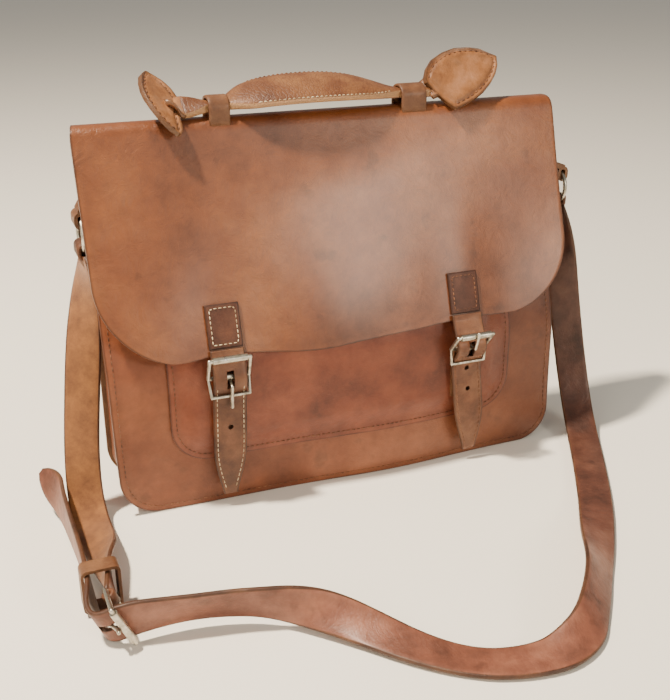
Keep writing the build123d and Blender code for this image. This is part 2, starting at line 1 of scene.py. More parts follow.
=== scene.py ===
import math

import bmesh
import bpy
import numpy as np
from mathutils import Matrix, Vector


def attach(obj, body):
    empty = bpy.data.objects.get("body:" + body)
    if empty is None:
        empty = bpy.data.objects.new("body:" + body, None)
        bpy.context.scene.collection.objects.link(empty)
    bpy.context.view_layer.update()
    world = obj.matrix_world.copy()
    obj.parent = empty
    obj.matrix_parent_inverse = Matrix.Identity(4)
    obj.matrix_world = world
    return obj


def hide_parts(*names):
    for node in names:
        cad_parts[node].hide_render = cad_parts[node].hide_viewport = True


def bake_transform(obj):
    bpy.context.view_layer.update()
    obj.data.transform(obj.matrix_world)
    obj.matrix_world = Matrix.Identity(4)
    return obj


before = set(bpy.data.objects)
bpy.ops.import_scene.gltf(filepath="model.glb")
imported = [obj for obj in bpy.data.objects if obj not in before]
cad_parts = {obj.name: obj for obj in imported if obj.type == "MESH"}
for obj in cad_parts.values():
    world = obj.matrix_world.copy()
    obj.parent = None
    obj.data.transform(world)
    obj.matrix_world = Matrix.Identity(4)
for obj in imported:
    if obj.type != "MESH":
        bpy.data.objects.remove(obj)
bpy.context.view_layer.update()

MM = 0.001

# ---- the bag's driving sizes, in millimetres ----------------------------------------------
PANEL_W = 356.0
GUSSET_W = 350.0
FLAP_W = 370.0
BACK_Y = 31.0
FRONT_Y = -31.0
FRONT_TOP = 238.0
BACK_TOP = 257.6
GUSSET_TOP = 246.0
BEND_Z = 105.0
FRONT_LEAN = math.tan(math.radians(18.6))
CORNER_R = 28.0
HIDE_T = 3.0  # panels and flap
PANEL_FOOT = 0.4  # the panels' cut edge stands this far off the floor
SEAM_INSET = 4.5  # the panels' stitches, from their cut edge
BEND_SOFT = 13.0  # half the height over which the front panel starts to lean
LEAN_STRETCH = 1.055  # one over the cosine of the front's lean
RIDGE_Z = 276.0
RIDGE_FRONT_Y = 11.8
RIDGE_R = 9.0
FLAP_FOOT_Y = -41.0
FLAP_FOOT_Z = 121.5
FLAP_CORNER_R = 58.0
FLAP_START_Z = 258.3
FLAP_SLOPE = (RIDGE_FRONT_Y - FLAP_FOOT_Y) / (RIDGE_Z - FLAP_FOOT_Z)
FLAP_LEAN = math.atan(FLAP_SLOPE)
POCKET_X = (-140.0, 135.0)
POCKET_Z = (38.0, 172.0)
POCKET_R = 28.0
STRAP_X = {"left": -99.0, "right": 90.0}
STRAP_W = 24.6
HANDLE_Y = 20.0


# ---- small helpers -------------------------------------------------------------------------
def linear(colour):
    """An sRGB hex colour as linear RGBA."""
    values = [int(colour[i:i + 2], 16) / 255 for i in (1, 3, 5)]
    return [v / 12.92 if v <= 0.04045 else ((v + 0.055) / 1.055) ** 2.4 for v in values] + [1.0]


def smooth(value):
    value = min(max(value, 0.0), 1.0)
    return value * value * (3 - 2 * value)


def hump(value, middle, spread):
    return math.exp(-((value - middle) / spread) ** 2)


def add(tree, kind, settings=None, values=None, links=None):
    """One node with its settings, its socket values and the sockets that feed it."""
    made = tree.nodes.new(kind)
    for key, value in (settings or {}).items():
        setattr(made, key, value)
    for key, value in (values or {}).items():
        made.inputs[key].default_value = value
    for key, source in (links or {}).items():
        tree.links.new(source, made.inputs[key])
    return made


def ramp(tree, source, stops):
    """A colour ramp over (position, hex or grey) stops."""
    made = add(tree, "ShaderNodeValToRGB", links={"Fac": source})
    elements = made.color_ramp.elements
    while len(elements) < len(stops):
        elements.new(0.5)
    for element, (position, colour) in zip(elements, stops):
        element.position = position
        grey = [colour, colour, colour, 1.0] if isinstance(colour, float) else linear(colour)
        element.color = grey
    return made.outputs["Color"]


def blend_colours(tree, factor, first, second, mode="MIX"):
    made = add(tree, "ShaderNodeMix", {"data_type": "RGBA", "blend_type": mode})
    for socket, source in ((0, factor), (6, first), (7, second)):
        if isinstance(source, bpy.types.NodeSocket):
            tree.links.new(source, made.inputs[socket])
        else:
            made.inputs[socket].default_value = source
    return made.outputs[2]


def new_material(name):
    material = bpy.data.materials.new(name)
    material.use_nodes = True
    tree = material.node_tree
    tree.nodes.clear()
    output = add(tree, "ShaderNodeOutputMaterial")
    shader = add(tree, "ShaderNodeBsdfPrincipled")
    tree.links.new(shader.outputs[0], output.inputs[0])
    return material, tree, shader


def noise(tree, place, size_mm, detail=2.0, roughness=0.5, distortion=0.0):
    """A cloudy pattern whose patches are about size_mm across."""
    node = add(tree, "ShaderNodeTexNoise", values={
        "Scale": 1000 / size_mm, "Detail": detail, "Roughness": roughness,
        "Distortion": distortion}, links={"Vector": place})
    return node.outputs["Fac"]


def bump(tree, height, strength, distance_mm, under=None):
    """Raises a surface by a pattern, on top of another bump where one is given."""
    links = {"Height": height}
    if under:
        links["Normal"] = under
    node = add(tree, "ShaderNodeBump", values={
        "Strength": strength, "Distance": distance_mm * MM}, links=links)
    return node.outputs[0]


def across_rim(tree, stops):
    """A ramp over the distance from a piece's cut edge, in centimetres."""
    edge = add(tree, "ShaderNodeAttribute", {"attribute_name": "edge_mm"})
    scaled = add(tree, "ShaderNodeMath", {"operation": "MULTIPLY"}, {1: 0.1},
                 {0: edge.outputs["Fac"]})
    return ramp(tree, scaled.outputs[0], stops)


def across_bag(tree, place, stops):
    """A ramp from the bag's middle to its right, in metres."""
    parts = add(tree, "ShaderNodeSeparateXYZ", links={"Vector": place})
    return ramp(tree, parts.outputs["X"], stops)


# ---- leathers and metal --------------------------------------------------------------------
def tanned_leather(name, dark, middle, light, grain_mm=1.1, cloud_mm=70.0, rough=0.42,
                   coat=0.18, wrinkle=1.0, burnished=True, spots=0.5, painted_shade_hanging=False,
                   painted_shade_right=False):
    """Vegetable-tanned cowhide: cloudy patina, scuffs and fine pores under a waxed satin."""
    material, tree, shader = new_material(name)
    place = add(tree, "ShaderNodeTexCoord").outputs["Object"]
    clouds = noise(tree, place, cloud_mm, 6.0, 0.62)
    tone = ramp(tree, clouds, [(0.30, dark), (0.48, middle), (0.70, light)])
    mottled = ramp(tree, noise(tree, place, 7.0, 5.0, 0.7), [(0.25, 0.62), (0.75, 1.0)])
    tone = blend_colours(tree, 0.55, tone, mottled, "MULTIPLY")
    stained = ramp(tree, noise(tree, place, 19.0, 3.0, 0.5), [(0.63, 1.0), (0.72, 0.45)])
    tone = blend_colours(tree, spots, tone, stained, "MULTIPLY")
    # painted shade: the hide darkens towards the bag's right, the side turned away from the light
    if painted_shade_right:
        shade = across_bag(tree, place, [(0.0, 1.0), (0.16, 0.66)])
        tone = blend_colours(tree, 1.0, tone, shade, "MULTIPLY")
    # painted shade: the strap darkens towards the bag's right, where it hangs turned away from the
    # light
    if painted_shade_hanging:
        hanging_shade = across_bag(tree, place, [(0.07, 1.0), (0.13, 0.6), (0.2, 0.42)])
        tone = blend_colours(tree, 1.0, tone, hanging_shade, "MULTIPLY")
    if burnished:
        worn = across_rim(tree, [(0.0, 0.34), (0.07, 0.40), (0.16, 1.0), (0.5, 0.86), (0.95, 1.0)])
        tone = blend_colours(tree, 0.8, tone, worn, "MULTIPLY")
    tree.links.new(tone, shader.inputs["Base Color"])
    sheen = ramp(tree, clouds, [(0.3, rough + 0.12), (0.7, rough - 0.06)])
    tree.links.new(sheen, shader.inputs["Roughness"])
    creases = bump(tree, noise(tree, place, 16.0, 7.0, 0.62, 0.6), 0.6 * wrinkle, 2.0)
    pores = add(tree, "ShaderNodeTexVoronoi", values={"Scale": 1000 / grain_mm},
                links={"Vector": place})
    grain = bump(tree, pores.outputs["Distance"], 0.35, 0.25, creases)
    tree.links.new(grain, shader.inputs["Normal"])
    shader.inputs["Coat Weight"].default_value = coat
    shader.inputs["Coat Roughness"].default_value = 0.24
    shader.inputs["Specular IOR Level"].default_value = 0.4
    return material


def crazed_leather(name, dark, middle, light):
    """The handle's leather: its finish has cracked into a net of pale lines."""
    material, tree, shader = new_material(name)
    place = add(tree, "ShaderNodeTexCoord").outputs["Object"]
    tone = ramp(tree, noise(tree, place, 26.0, 5.0, 0.6), [(0.32, dark), (0.5, middle), (0.68, light)])
    long_way = add(tree, "ShaderNodeMapping", values={"Scale": (1.0, 0.55, 1.0)},
                   links={"Vector": place})
    net = add(tree, "ShaderNodeTexVoronoi", {"feature": "DISTANCE_TO_EDGE"},
              {"Scale": 1000 / 2.5, "Randomness": 1.0}, {"Vector": long_way.outputs[0]})
    cracks = ramp(tree, net.outputs["Distance"], [(0.0, 0.6), (0.07, 0.0)])
    tone = blend_colours(tree, cracks, tone, linear("#4A2716"))
    rim = across_rim(tree, [(0.05, 0.85), (0.16, 0.0)])
    tone = blend_colours(tree, rim, tone, linear("#A87F58"))
    tree.links.new(tone, shader.inputs["Base Color"])
    shader.inputs["Roughness"].default_value = 0.52
    shader.inputs["Coat Weight"].default_value = 0.05
    shader.inputs["Coat Roughness"].default_value = 0.35
    raised = ramp(tree, net.outputs["Distance"], [(0.0, 0.0), (0.16, 1.0)])
    tree.links.new(bump(tree, raised, 0.35, 0.5), shader.inputs["Normal"])
    return material


def suede(name, dark, light):
    """The flesh side of the hide: matt, fibrous and mottled."""
    material, tree, shader = new_material(name)
    place = add(tree, "ShaderNodeTexCoord").outputs["Object"]
    tone = ramp(tree, noise(tree, place, 14.0, 9.0, 0.75), [(0.3, dark), (0.7, light)])
    tree.links.new(tone, shader.inputs["Base Color"])
    fibres = noise(tree, place, 0.9, 3.0, 0.7)
    tree.links.new(bump(tree, fibres, 0.5, 0.4), shader.inputs["Normal"])
    shader.inputs["Roughness"].default_value = 0.85
    shader.inputs["Sheen Weight"].default_value = 0.25
    shader.inputs["Sheen Roughness"].default_value = 0.5
    return material


def nickel_plate(name):
    """Nickel plating on steel wire, dulled and pitted with age."""
    material, tree, shader = new_material(name)
    place = add(tree, "ShaderNodeTexCoord").outputs["Object"]
    tarnish = noise(tree, place, 5.0, 6.0, 0.65)
    tone = ramp(tree, tarnish, [(0.3, "#7D7767"), (0.5, "#B9B4A6"), (0.7, "#D6D2C8")])
    tree.links.new(tone, shader.inputs["Base Color"])
    dull = ramp(tree, tarnish, [(0.3, 0.45), (0.7, 0.24)])
    tree.links.new(dull, shader.inputs["Roughness"])
    pits = noise(tree, place, 0.8)
    tree.links.new(bump(tree, pits, 0.2, 0.1), shader.inputs["Normal"])
    shader.inputs["Metallic"].default_value = 1.0
    return material


def waxed_thread(name, dark, light):
    """Waxed linen thread: twisted strands, drawn a little coarser than life."""
    material, tree, shader = new_material(name)
    place = add(tree, "ShaderNodeTexCoord").outputs["Object"]
    tone = ramp(tree, noise(tree, place, 12.0, 4.0), [(0.35, dark), (0.65, light)])
    tree.links.new(tone, shader.inputs["Base Color"])
    twist = noise(tree, place, 0.5)
    tree.links.new(bump(tree, twist, 0.4, 0.1), shader.inputs["Normal"])
    shader.inputs["Roughness"].default_value = 0.7
    return material


FLAP_HIDE = tanned_leather("flap_hide_waxed", "#54290F", "#743F1E", "#8E562D",
                           cloud_mm=95.0, rough=0.44, coat=0.38, spots=0.5, wrinkle=1.3)
# the body and pocket hides below carry painted shade towards the bag's right
BODY_HIDE = tanned_leather("body_hide_waxed", "#5A2B12", "#7C4224", "#985A38",
                           cloud_mm=80.0, rough=0.46, coat=0.16, painted_shade_right=True)
POCKET_HIDE = tanned_leather("pocket_hide_waxed", "#562411", "#7A3A20", "#945030",
                             cloud_mm=60.0, rough=0.44, coat=0.18, painted_shade_right=True)
HARNESS = tanned_leather("harness_leather_dull", "#47291A", "#6B4129", "#8B5C3D",
                         cloud_mm=30.0, rough=0.5, coat=0.1)
PATCH_HIDE = tanned_leather("patch_leather_dark", "#371A0D", "#4D2716", "#653A23",
                            cloud_mm=22.0, rough=0.54, coat=0.06)
# the shoulder strap carries painted shade on its end that hangs at the bag's right
STRAP_GRAIN = tanned_leather("shoulder_strap_grain", "#553022", "#7B4A38", "#9A6650",
                             grain_mm=1.6, cloud_mm=34.0, rough=0.46, coat=0.12, spots=0.6,
                             painted_shade_hanging=True)
FITTINGS = tanned_leather("tab_and_chape_leather", "#4A2C1C", "#674229", "#80593C",
                          cloud_mm=20.0, rough=0.5, coat=0.08, burnished=False)
HANDLE_HIDE = crazed_leather("handle_hide_crazed", "#4A2712", "#643B1F", "#7C522F")
SPADE_HIDE = tanned_leather("handle_end_hide", "#6A3E20", "#8C5C36", "#A8795A",
                            cloud_mm=24.0, rough=0.40, coat=0.2)
FLESH = suede("hide_flesh_side", "#5E3519", "#94602F")
FLESH_DARK = suede("hide_flesh_side_inner", "#5A3B27", "#84613F")
NICKEL = nickel_plate("nickel_plate_dulled")
PALE_THREAD = waxed_thread("waxed_thread_pale", "#8E7355", "#D8C6A4")
DARK_THREAD = waxed_thread("waxed_thread_brown", "#4A2A18", "#86583A")


# ---- mesh building -------------------------------------------------------------------------
def make_piece(name, points, faces, materials, indices=None, edge=None, closed=True):
    """A smooth mesh object from points in millimetres; a closed one faces outwards."""
    mesh = bpy.data.meshes.new(name)
    mesh.from_pydata([tuple(MM * v for v in point) for point in points], [], faces)
    for material in materials:
        mesh.materials.append(material)
    if indices is not None:
        mesh.polygons.foreach_set("material_index", indices)
    mesh.polygons.foreach_set("use_smooth", [True] * len(mesh.polygons))
    if edge is not None:
        attribute = mesh.attributes.new("edge_mm", "FLOAT", "POINT")
        attribute.data.foreach_set("value", np.asarray(edge, np.float32))
    if closed:
        shell = bmesh.new()
        shell.from_mesh(mesh)
        bmesh.ops.recalc_face_normals(shell, faces=shell.faces)
        shell.to_mesh(mesh)
        shell.free()
    piece = bpy.data.objects.new(name, mesh)
    bpy.context.scene.collection.objects.link(piece)
    return piece


def edge_distances(points, rim):
    """Each point's distance from the rim's points."""
    places = np.asarray(points, float)
    border = places[rim]
    return [float(np.sqrt(((border - place) ** 2).sum(1).min())) for place in places]


def hide_sheet(name, surface, columns, rows, thickness, outer, inner, flip=False):
    """A hide cut to shape: a grid over surface(s, t), thickened inwards, with rounded edges."""
    points = []
    for j in range(rows + 1):
        for i in range(columns + 1):
            points.append(surface(i / columns, j / rows))
    faces = []
    for j in range(rows):
        for i in range(columns):
            a = j * (columns + 1) + i
            quad = (a, a + 1, a + columns + 2, a + columns + 1)
            faces.append(quad[::-1] if flip else quad)
    rim = [k for k in range(len(points))
           if k % (columns + 1) in (0, columns) or k // (columns + 1) in (0, rows)]
    piece = make_piece(name, points, faces, [outer, inner], None, edge_distances(points, rim),
                       closed=False)
    thicken = piece.modifiers.new("thickness", "SOLIDIFY")
    thicken.thickness = thickness * MM
    thicken.offset = -1.0
    thicken.use_even_offset = False
    thicken.material_offset = 1
    thicken.material_offset_rim = 0
    rounded = piece.modifiers.new("rounded_edges", "BEVEL")
    rounded.width = 0.28 * thickness * MM
    rounded.segments = 3
    rounded.limit_method = "ANGLE"
    rounded.angle_limit = math.radians(55)
    return piece


def band_profile(width, thickness, crown=0.0):
    """A strap's cross-section as (across, up, side) points: 0 under, 1 over, 2 edge."""
    half = width / 2
    rise = thickness / 2
    corner = 0.42 * thickness
    profile = []
    for k in range(9):
        s = -1 + k / 4
        profile.append((s * (half - corner), rise + crown * (1 - s * s), 1))
    profile += [(half - 0.12 * corner, rise - 0.35 * corner, 2), (half, 0.0, 2)]
    profile.append((half - 0.12 * corner, -rise + 0.35 * corner, 2))
    for k in range(9):
        s = 1 - k / 4
        profile.append((s * (half - corner), -rise - crown * (1 - s * s), 0))
    profile += [(-half + 0.12 * corner, -rise + 0.35 * corner, 2), (-half, 0.0, 2)]
    profile.append((-half + 0.12 * corner, rise - 0.35 * corner, 2))
    return profile


def swept_strap(name, centres, acrosses, width, thickness, materials, taper=None, crown=0.0):
    """A flat strap along a line; taper gives the share of full width at each point."""
    centres = [Vector(c) for c in centres]
    profile = band_profile(width, thickness, crown)
    count = len(profile)
    points, edge, faces, indices = [], [], [], []
    for i, centre in enumerate(centres):
        before = centres[max(i - 1, 0)]
        after = centres[min(i + 1, len(centres) - 1)]
        along = (after - before).normalized()
        across = Vector(acrosses[i])
        across = (across - along * across.dot(along)).normalized()
        up = along.cross(across)
        share = taper[i] if taper else 1.0
        for side, height, _ in profile:
            points.append(centre + across * side * share + up * height)
            edge.append((width / 2 - abs(side)) * share)
    for i in range(len(centres) - 1):
        for k in range(count):
            n = (k + 1) % count
            a, b = i * count + k, i * count + n
            faces.append((a, b, b + count, a + count))
            pair = {profile[k][2], profile[n][2]}
            indices.append(1 if pair == {1} else (2 if pair == {0} else 0))
    faces.append(tuple(range(count))[::-1])
    faces.append(tuple(range((len(centres) - 1) * count, len(centres) * count)))
    indices += [0, 0]
    return make_piece(name, points, faces, materials, indices, edge)


def lofted_pad(name, centres, acrosses, widths, middles, rims, materials):
    """A stuffed leather pad: thick along its middle line, thin at its stitched rim."""
    steps = 10
    centres = [Vector(c) for c in centres]
    points, edge, faces, indices = [], [], [], []
    ring = 2 * steps + 2
    for i, centre in enumerate(centres):
        before = centres[max(i - 1, 0)]
        after = centres[min(i + 1, len(centres) - 1)]
        along = (after - before).normalized()
        across = Vector(acrosses[i])
        across = (across - along * across.dot(along)).normalized()
        up = along.cross(across)
        for sign in (1, -1):
            for k in range(steps + 1):
                s = sign * (1 - 2 * k / steps)
                swell = rims[i] + (middles[i] - rims[i]) * (1 - abs(s) ** 2.4) ** 0.9
                inset = 0.0 if 0 < k < steps else 0.3 * rims[i]
                reach = widths[i] / 2 * s
                reach -= math.copysign(min(inset, abs(reach)), s)
                points.append(centre + across * reach + up * sign * swell / 2)
                edge.append(widths[i] / 2 * (1 - abs(s)))
    for i in range(len(centres) - 1):
        for k in range(ring):
            n = (k + 1) % ring
            a, b = i * ring + k, i * ring + n
            faces.append((a, a + ring, b + ring, b))
            indices.append(0 if k <= steps else 1)
    faces.append(tuple(range(ring)))
    faces.append(tuple(range((len(centres) - 1) * ring, len(centres) * ring))[::-1])
    indices += [0, 0]
    return make_piece(name, points, faces, materials, indices, edge)


def resample(points, pitch):
    """Evenly spaced points along a line of points."""
    points = [Vector(p) for p in points]
    lengths = [(b - a).length for a, b in zip(points, points[1:])]
    total = sum(lengths)
    count = max(1, round(total / pitch))
    made = []
    for i in range(count + 1):
        target = total * i / count
        k = 0
        while k < len(lengths) - 1 and target > lengths[k]:
            target -= lengths[k]
            k += 1
        part = target / lengths[k] if lengths[k] else 0.0
        made.append(points[k].lerp(points[k + 1], min(part, 1.0)))
    return made


def stitching(name, line, outwards, body, thread, pitch=4.2, gap=0.32, radius=0.42):
    """A row of stitches: each is a short bowed thread that dives into the leather at its ends."""
    marks = resample(line, pitch)
    points, faces = [], []
    sides = 6
    for start, end in zip(marks, marks[1:]):
        run = end - start
        along = run.normalized()
        up = Vector(outwards(start.lerp(end, 0.5))).normalized()
        across = along.cross(up).normalized()
        base = len(points)
        for k in range(5):
            share = k / 4
            place = start + run * (gap / 2 + share * (1 - gap))
            place = place + up * (radius * 0.9 * math.sin(math.pi * share) - radius * 0.25)
            size = radius * (0.55 + 0.45 * math.sin(math.pi * share))
            for m in range(sides):
                angle = 2 * math.pi * m / sides
                points.append(place + (across * math.cos(angle) + up * math.sin(angle)) * size)
        for k in range(4):
            for m in range(sides):
                n = (m + 1) % sides
                a, b = base + k * sides + m, base + k * sides + n
                faces.append((a, b, b + sides, a + sides))
        faces.append(tuple(base + m for m in range(sides))[::-1])
        faces.append(tuple(base + 4 * sides + m for m in range(sides)))
    piece = make_piece(name, points, faces, [thread])
    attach(piece, body)
    return piece


# ---- the body's surfaces ---------------------------------------------------------------------
def belly(x, z):
    """How far the front swells outwards, in millimetres."""
    low = 6.0 * hump(x, 35.0, 62.0) * hump(z, 20.0, 42.0)
    high = 2.5 * hump(x, -20.0, 90.0) * hump(z, 120.0, 50.0)
    return low + high - 1.2 * hump(x, -160.0, 30.0)


def front_surface(x, z, offset=0.0):
    """A point of the front panel's outside, moved outwards by offset."""
    over = z - BEND_Z
    if over < -BEND_SOFT:
        lean = 0.0
    elif over > BEND_SOFT:
        lean = over
    else:
        lean = (over + BEND_SOFT) ** 2 / (4 * BEND_SOFT)
    y = FRONT_Y + lean * FRONT_LEAN - offset * (LEAN_STRETCH if over > 0 else 1.0)
    return Vector((x, y - belly(x, z), z))


def half_width(z, width, radius, low=0.0):
    """Half of a panel's width at height z, where its lower corners are rounded."""
    inside = radius - (z - low)
    if inside <= 0:
        return width / 2
    return width / 2 - radius + math.sqrt(max(radius * radius - inside * inside, 0.0))


def eased_rows(t, low, high, radius):
    """Heights that crowd together round the lower corners."""
    corner_share = 0.3
    if t < corner_share:
        return low + radius * (1 - math.cos(t / corner_share * math.pi / 2))
    return low + radius + (high - low - radius) * (t - corner_share) / (1 - corner_share)


def lower_corner(x, z, reach, side, first=1):
    """(x, z) round a lower corner with its centre at x, z: the left one goes down, the right up."""
    angles = [math.pi / 2 * step / 12 for step in range(first, 13)]
    if side == "left":
        return [(x - reach * math.cos(a), z - reach * math.sin(a)) for a in angles]
    return [(x + reach * math.sin(a), z - reach * math.cos(a)) for a in angles]


def sway_at(z):
    """How far the front panel's sides are drawn in at height z."""
    return 3.0 * math.sin(math.pi * min(z / FRONT_TOP, 1.0))


def front_panel():
    def surface(s, t):
        z = eased_rows(t, PANEL_FOOT, FRONT_TOP, CORNER_R)
        x = (2 * s - 1) * half_width(z, PANEL_W, CORNER_R, PANEL_FOOT)
        return front_surface(x - sway_at(z) * smooth((abs(x) - 120) / 58), z)
    piece = hide_sheet("front_panel_hide", surface, 90, 60, HIDE_T, BODY_HIDE, FLESH_DARK)
    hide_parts("front_panel")
    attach(piece, "root")
    half = PANEL_W / 2
    reach = CORNER_R - SEAM_INSET
    rim = []
    for step in range(41):
        z = FRONT_TOP - (FRONT_TOP - CORNER_R) * step / 40
        rim.append((-half + SEAM_INSET - sway_at(z), z))
    rim += lower_corner(-half + CORNER_R, CORNER_R, reach, "left")
    for step in range(1, 41):
        rim.append((-half + CORNER_R + (PANEL_W - 2 * CORNER_R) * step / 40, SEAM_INSET))
    rim += lower_corner(half - CORNER_R, CORNER_R, reach, "right")
    for step in range(1, 41):
        z = CORNER_R + (FRONT_TOP - CORNER_R) * step / 40
        rim.append((half - SEAM_INSET - sway_at(z), z))
    rim = [front_surface(x, z) for x, z in rim]
    stitching("front_panel_seam", rim, lambda p: (0, -1, 0.1), "root", DARK_THREAD)


def back_panel():
    def surface(s, t):
        z = eased_rows(t, PANEL_FOOT, BACK_TOP, CORNER_R)
        x = (2 * s - 1) * half_width(z, PANEL_W, CORNER_R, PANEL_FOOT)
        dent = 1.6 * hump(x, 40.0, 90.0) * hump(z, 130.0, 60.0)
        return Vector((x, BACK_Y - dent, z))
    piece = hide_sheet("back_panel_hide", surface, 60, 44, HIDE_T, BODY_HIDE, FLESH_DARK, flip=True)
    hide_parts("back_panel")
    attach(piece, "root")
    half = PANEL_W / 2
    rim = [Vector((-half + SEAM_INSET, BACK_Y, 250.0 - 222.0 * k / 20)) for k in range(21)]
    for x, z in lower_corner(-half + CORNER_R, CORNER_R, CORNER_R - SEAM_INSET, "left"):
        rim.append(Vector((x, BACK_Y, z)))
    rim += [Vector((-point.x, point.y, point.z)) for point in reversed(rim)]
    stitching("back_panel_seam", rim, lambda p: (0, 1, 0), "root", DARK_THREAD)


def gusset():
    """One strip of hide round the sides and the bottom, its sides pinched inwards."""
    radius = CORNER_R - 3.0
    side = GUSSET_TOP - radius
    arc = radius * math.pi / 2
    flat = GUSSET_W - 2 * radius
    total = 2 * side + 2 * arc + flat

    def track(distance):
        half = GUSSET_W / 2
        if distance < side:
            return -half, GUSSET_TOP - distance, 1.0
        distance -= side
        if distance < arc:
            angle = distance / radius
            return (-half + radius - radius * math.cos(angle), radius - radius * math.sin(angle),
                    math.cos(angle))
        distance -= arc
        if distance < flat:
            return -half + radius + distance, 0.0, 0.0
        distance -= flat
        if distance < arc:
            angle = distance / radius
            return (half - radius + radius * math.sin(angle), radius - radius * math.cos(angle),
                    math.sin(angle))
        return half, radius + distance - arc, 1.0

    def surface(s, t):
        x, z, upright = track(t * total)
        front = front_surface(x, z).y + 3.3
        back = BACK_Y - 3.2
        y = front + (back - front) * s
        pinch = 11.0 * math.sin(math.pi * s) * upright * math.sin(math.pi * min(z / 250.0, 1.0))
        fold = 2.0 * math.sin(3 * math.pi * s) * upright * hump(z, 150.0, 70.0)
        x -= math.copysign(max(pinch + fold, 0.0), x)
        return Vector((x, y, z + 0.5))
    piece = hide_sheet("gusset_hide", surface, 16, 150, 2.5, BODY_HIDE, FLESH_DARK)
    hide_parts("gusset")
    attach(piece, "root")


def pocket_outline(inset, count=30):
    """The pocket's three sewn sides, inset millimetres from its edge, as (x, z)."""
    x_low, x_high = POCKET_X
    z_low, z_high = POCKET_Z
    reach = POCKET_R - inset
    made = [(x_low + inset, z_high - (z_high - z_low - POCKET_R) * k / count)
            for k in range(count)]
    made += lower_corner(x_low + POCKET_R, z_low + POCKET_R, reach, "left", 0)
    made += [(x_low + POCKET_R + (x_high - x_low - 2 * POCKET_R) * k / count, z_low + inset)
             for k in range(1, count)]
    made += lower_corner(x_high - POCKET_R, z_low + POCKET_R, reach, "right", 0)
    made += [(x_high - inset, z_low + POCKET_R + (z_high - z_low - POCKET_R) * k / count)
             for k in range(1, count + 1)]
    return made


def pocket_lift(x, z):
    """How far the pocket stands off the front panel: flat at its seams, full in its middle."""
    x_low, x_high = POCKET_X
    z_low, _ = POCKET_Z
    half = half_width(z, x_high - x_low, POCKET_R, z_low)
    middle = (x_low + x_high) / 2
    side = min(half - abs(x - middle), z - z_low)
    return 2.2 + 4.3 * smooth((side - 6.0) / 16.0)


def front_pocket():
    x_low, x_high = POCKET_X
    z_low, z_high = POCKET_Z

    def surface(s, t):
        z = eased_rows(t, z_low, z_high, POCKET_R)
        half = half_width(z, x_high - x_low, POCKET_R, z_low)
        x = (x_low + x_high) / 2 + (2 * s - 1) * half
        return front_surface(x, z, pocket_lift(x, z))
    piece = hide_sheet("front_pocket_hide", surface, 90, 46, 2.0, POCKET_HIDE, FLESH_DARK)
    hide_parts("front_pocket")
    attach(piece, "root")
    seam = [front_surface(x, z, pocket_lift(x, z)) for x, z in pocket_outline(4.0)]
    stitching("front_pocket_seam", seam, lambda p: (0, -1, 0.15), "root", DARK_THREAD, pitch=4.0)


# ---- the flap ---------------------------------------------------------------------------------
def flap_profile():
    """(y, z) along the outside of the flap's middle: up behind, over the ridge and down."""
    line = [(BACK_Y, FLAP_START_Z + (RIDGE_Z - RIDGE_R - FLAP_START_Z) * k / 3) for k in range(4)]
    for k in range(1, 9):
        angle = math.pi / 2 * k / 8
        line.append((BACK_Y - RIDGE_R + RIDGE_R * math.cos(angle),
                     RIDGE_Z - RIDGE_R + RIDGE_R * math.sin(angle)))
    turn = math.pi / 2 - FLAP_LEAN
    tangent = RIDGE_R * math.tan(turn / 2)
    centre_y = RIDGE_FRONT_Y + tangent
    for k in range(9):
        angle = math.pi / 2 + turn * k / 8
        line.append((centre_y + RIDGE_R * math.cos(angle),
                     RIDGE_Z - RIDGE_R + RIDGE_R * math.sin(angle)))
    last_y, last_z = line[-1]
    for k in range(1, 41):
        share = k / 40
        line.append((last_y + (FLAP_FOOT_Y - last_y) * share,
                     last_z + (FLAP_FOOT_Z - last_z) * share))
    return line


FLAP_LINE = flap_profile()
FLAP_RUNS = [0.0]
for (y_a, z_a), (y_b, z_b) in zip(FLAP_LINE, FLAP_LINE[1:]):
    FLAP_RUNS.append(FLAP_RUNS[-1] + math.hypot(y_b - y_a, z_b - z_a))
FLAP_LENGTH = FLAP_RUNS[-1]


def along_flap(distance):
    """(y, z) of the flap's middle, distance millimetres along it."""
    return [float(np.interp(distance, FLAP_RUNS, [point[axis] for point in FLAP_LINE]))
            for axis in (0, 1)]


def flap_droop(x):
    """How much lower than its corners the flap's edge hangs at x."""
    sag = 6.0 * hump(x, -30.0, 40.0) + 2.5 * hump(x, 30.0, 40.0) + 2.0 * hump(x, -140.0, 26.0)
    return sag - 1.0 * hump(x, 92.0, 20.0) - 1.5 * hump(x, STRAP_X["left"], 16.0)


def flap_point(x, distance, offset=0.0):
    """A point of the flap at x, distance millimetres along it, offset outwards."""
    distance = min(max(distance, 0.0), FLAP_LENGTH + 8.0)
    y, z = along_flap(distance)
    if distance > FLAP_LENGTH:
        y -= (distance - FLAP_LENGTH) * math.sin(FLAP_LEAN)
        z -= (distance - FLAP_LENGTH) * math.cos(FLAP_LEAN)
    near = min(distance, FLAP_LENGTH - 2.0)
    y_after, z_after = along_flap(near + 1.0)
    y_before, z_before = along_flap(near - 1.0)
    ahead = y_after - y_before
    rise = z_after - z_before
    length = math.hypot(ahead, rise) or 1.0
    normal = (rise / length, -ahead / length)
    down = smooth((distance - 45.0) / (FLAP_LENGTH - 45.0))
    wave = 1.5 * math.sin(x / 33.0 + 0.6) * down + 1.1 * math.sin(x / 61.0 + distance / 47.0)
    wave += 1.0 * math.sin((x + distance) / 29.0) * down * (1 - down)
    wave += 2.6 * hump(x, -20.0, 55.0) * down * down
    straps = hump(x, STRAP_X["left"], 22.0) + hump(x, STRAP_X["right"], 22.0)
    wave *= (1 - 0.9 * min(straps, 1.0) * down) * smooth((distance - 30.0) / 60.0)
    out = offset + wave
    return Vector((x, y + normal[0] * out, z + normal[1] * out))


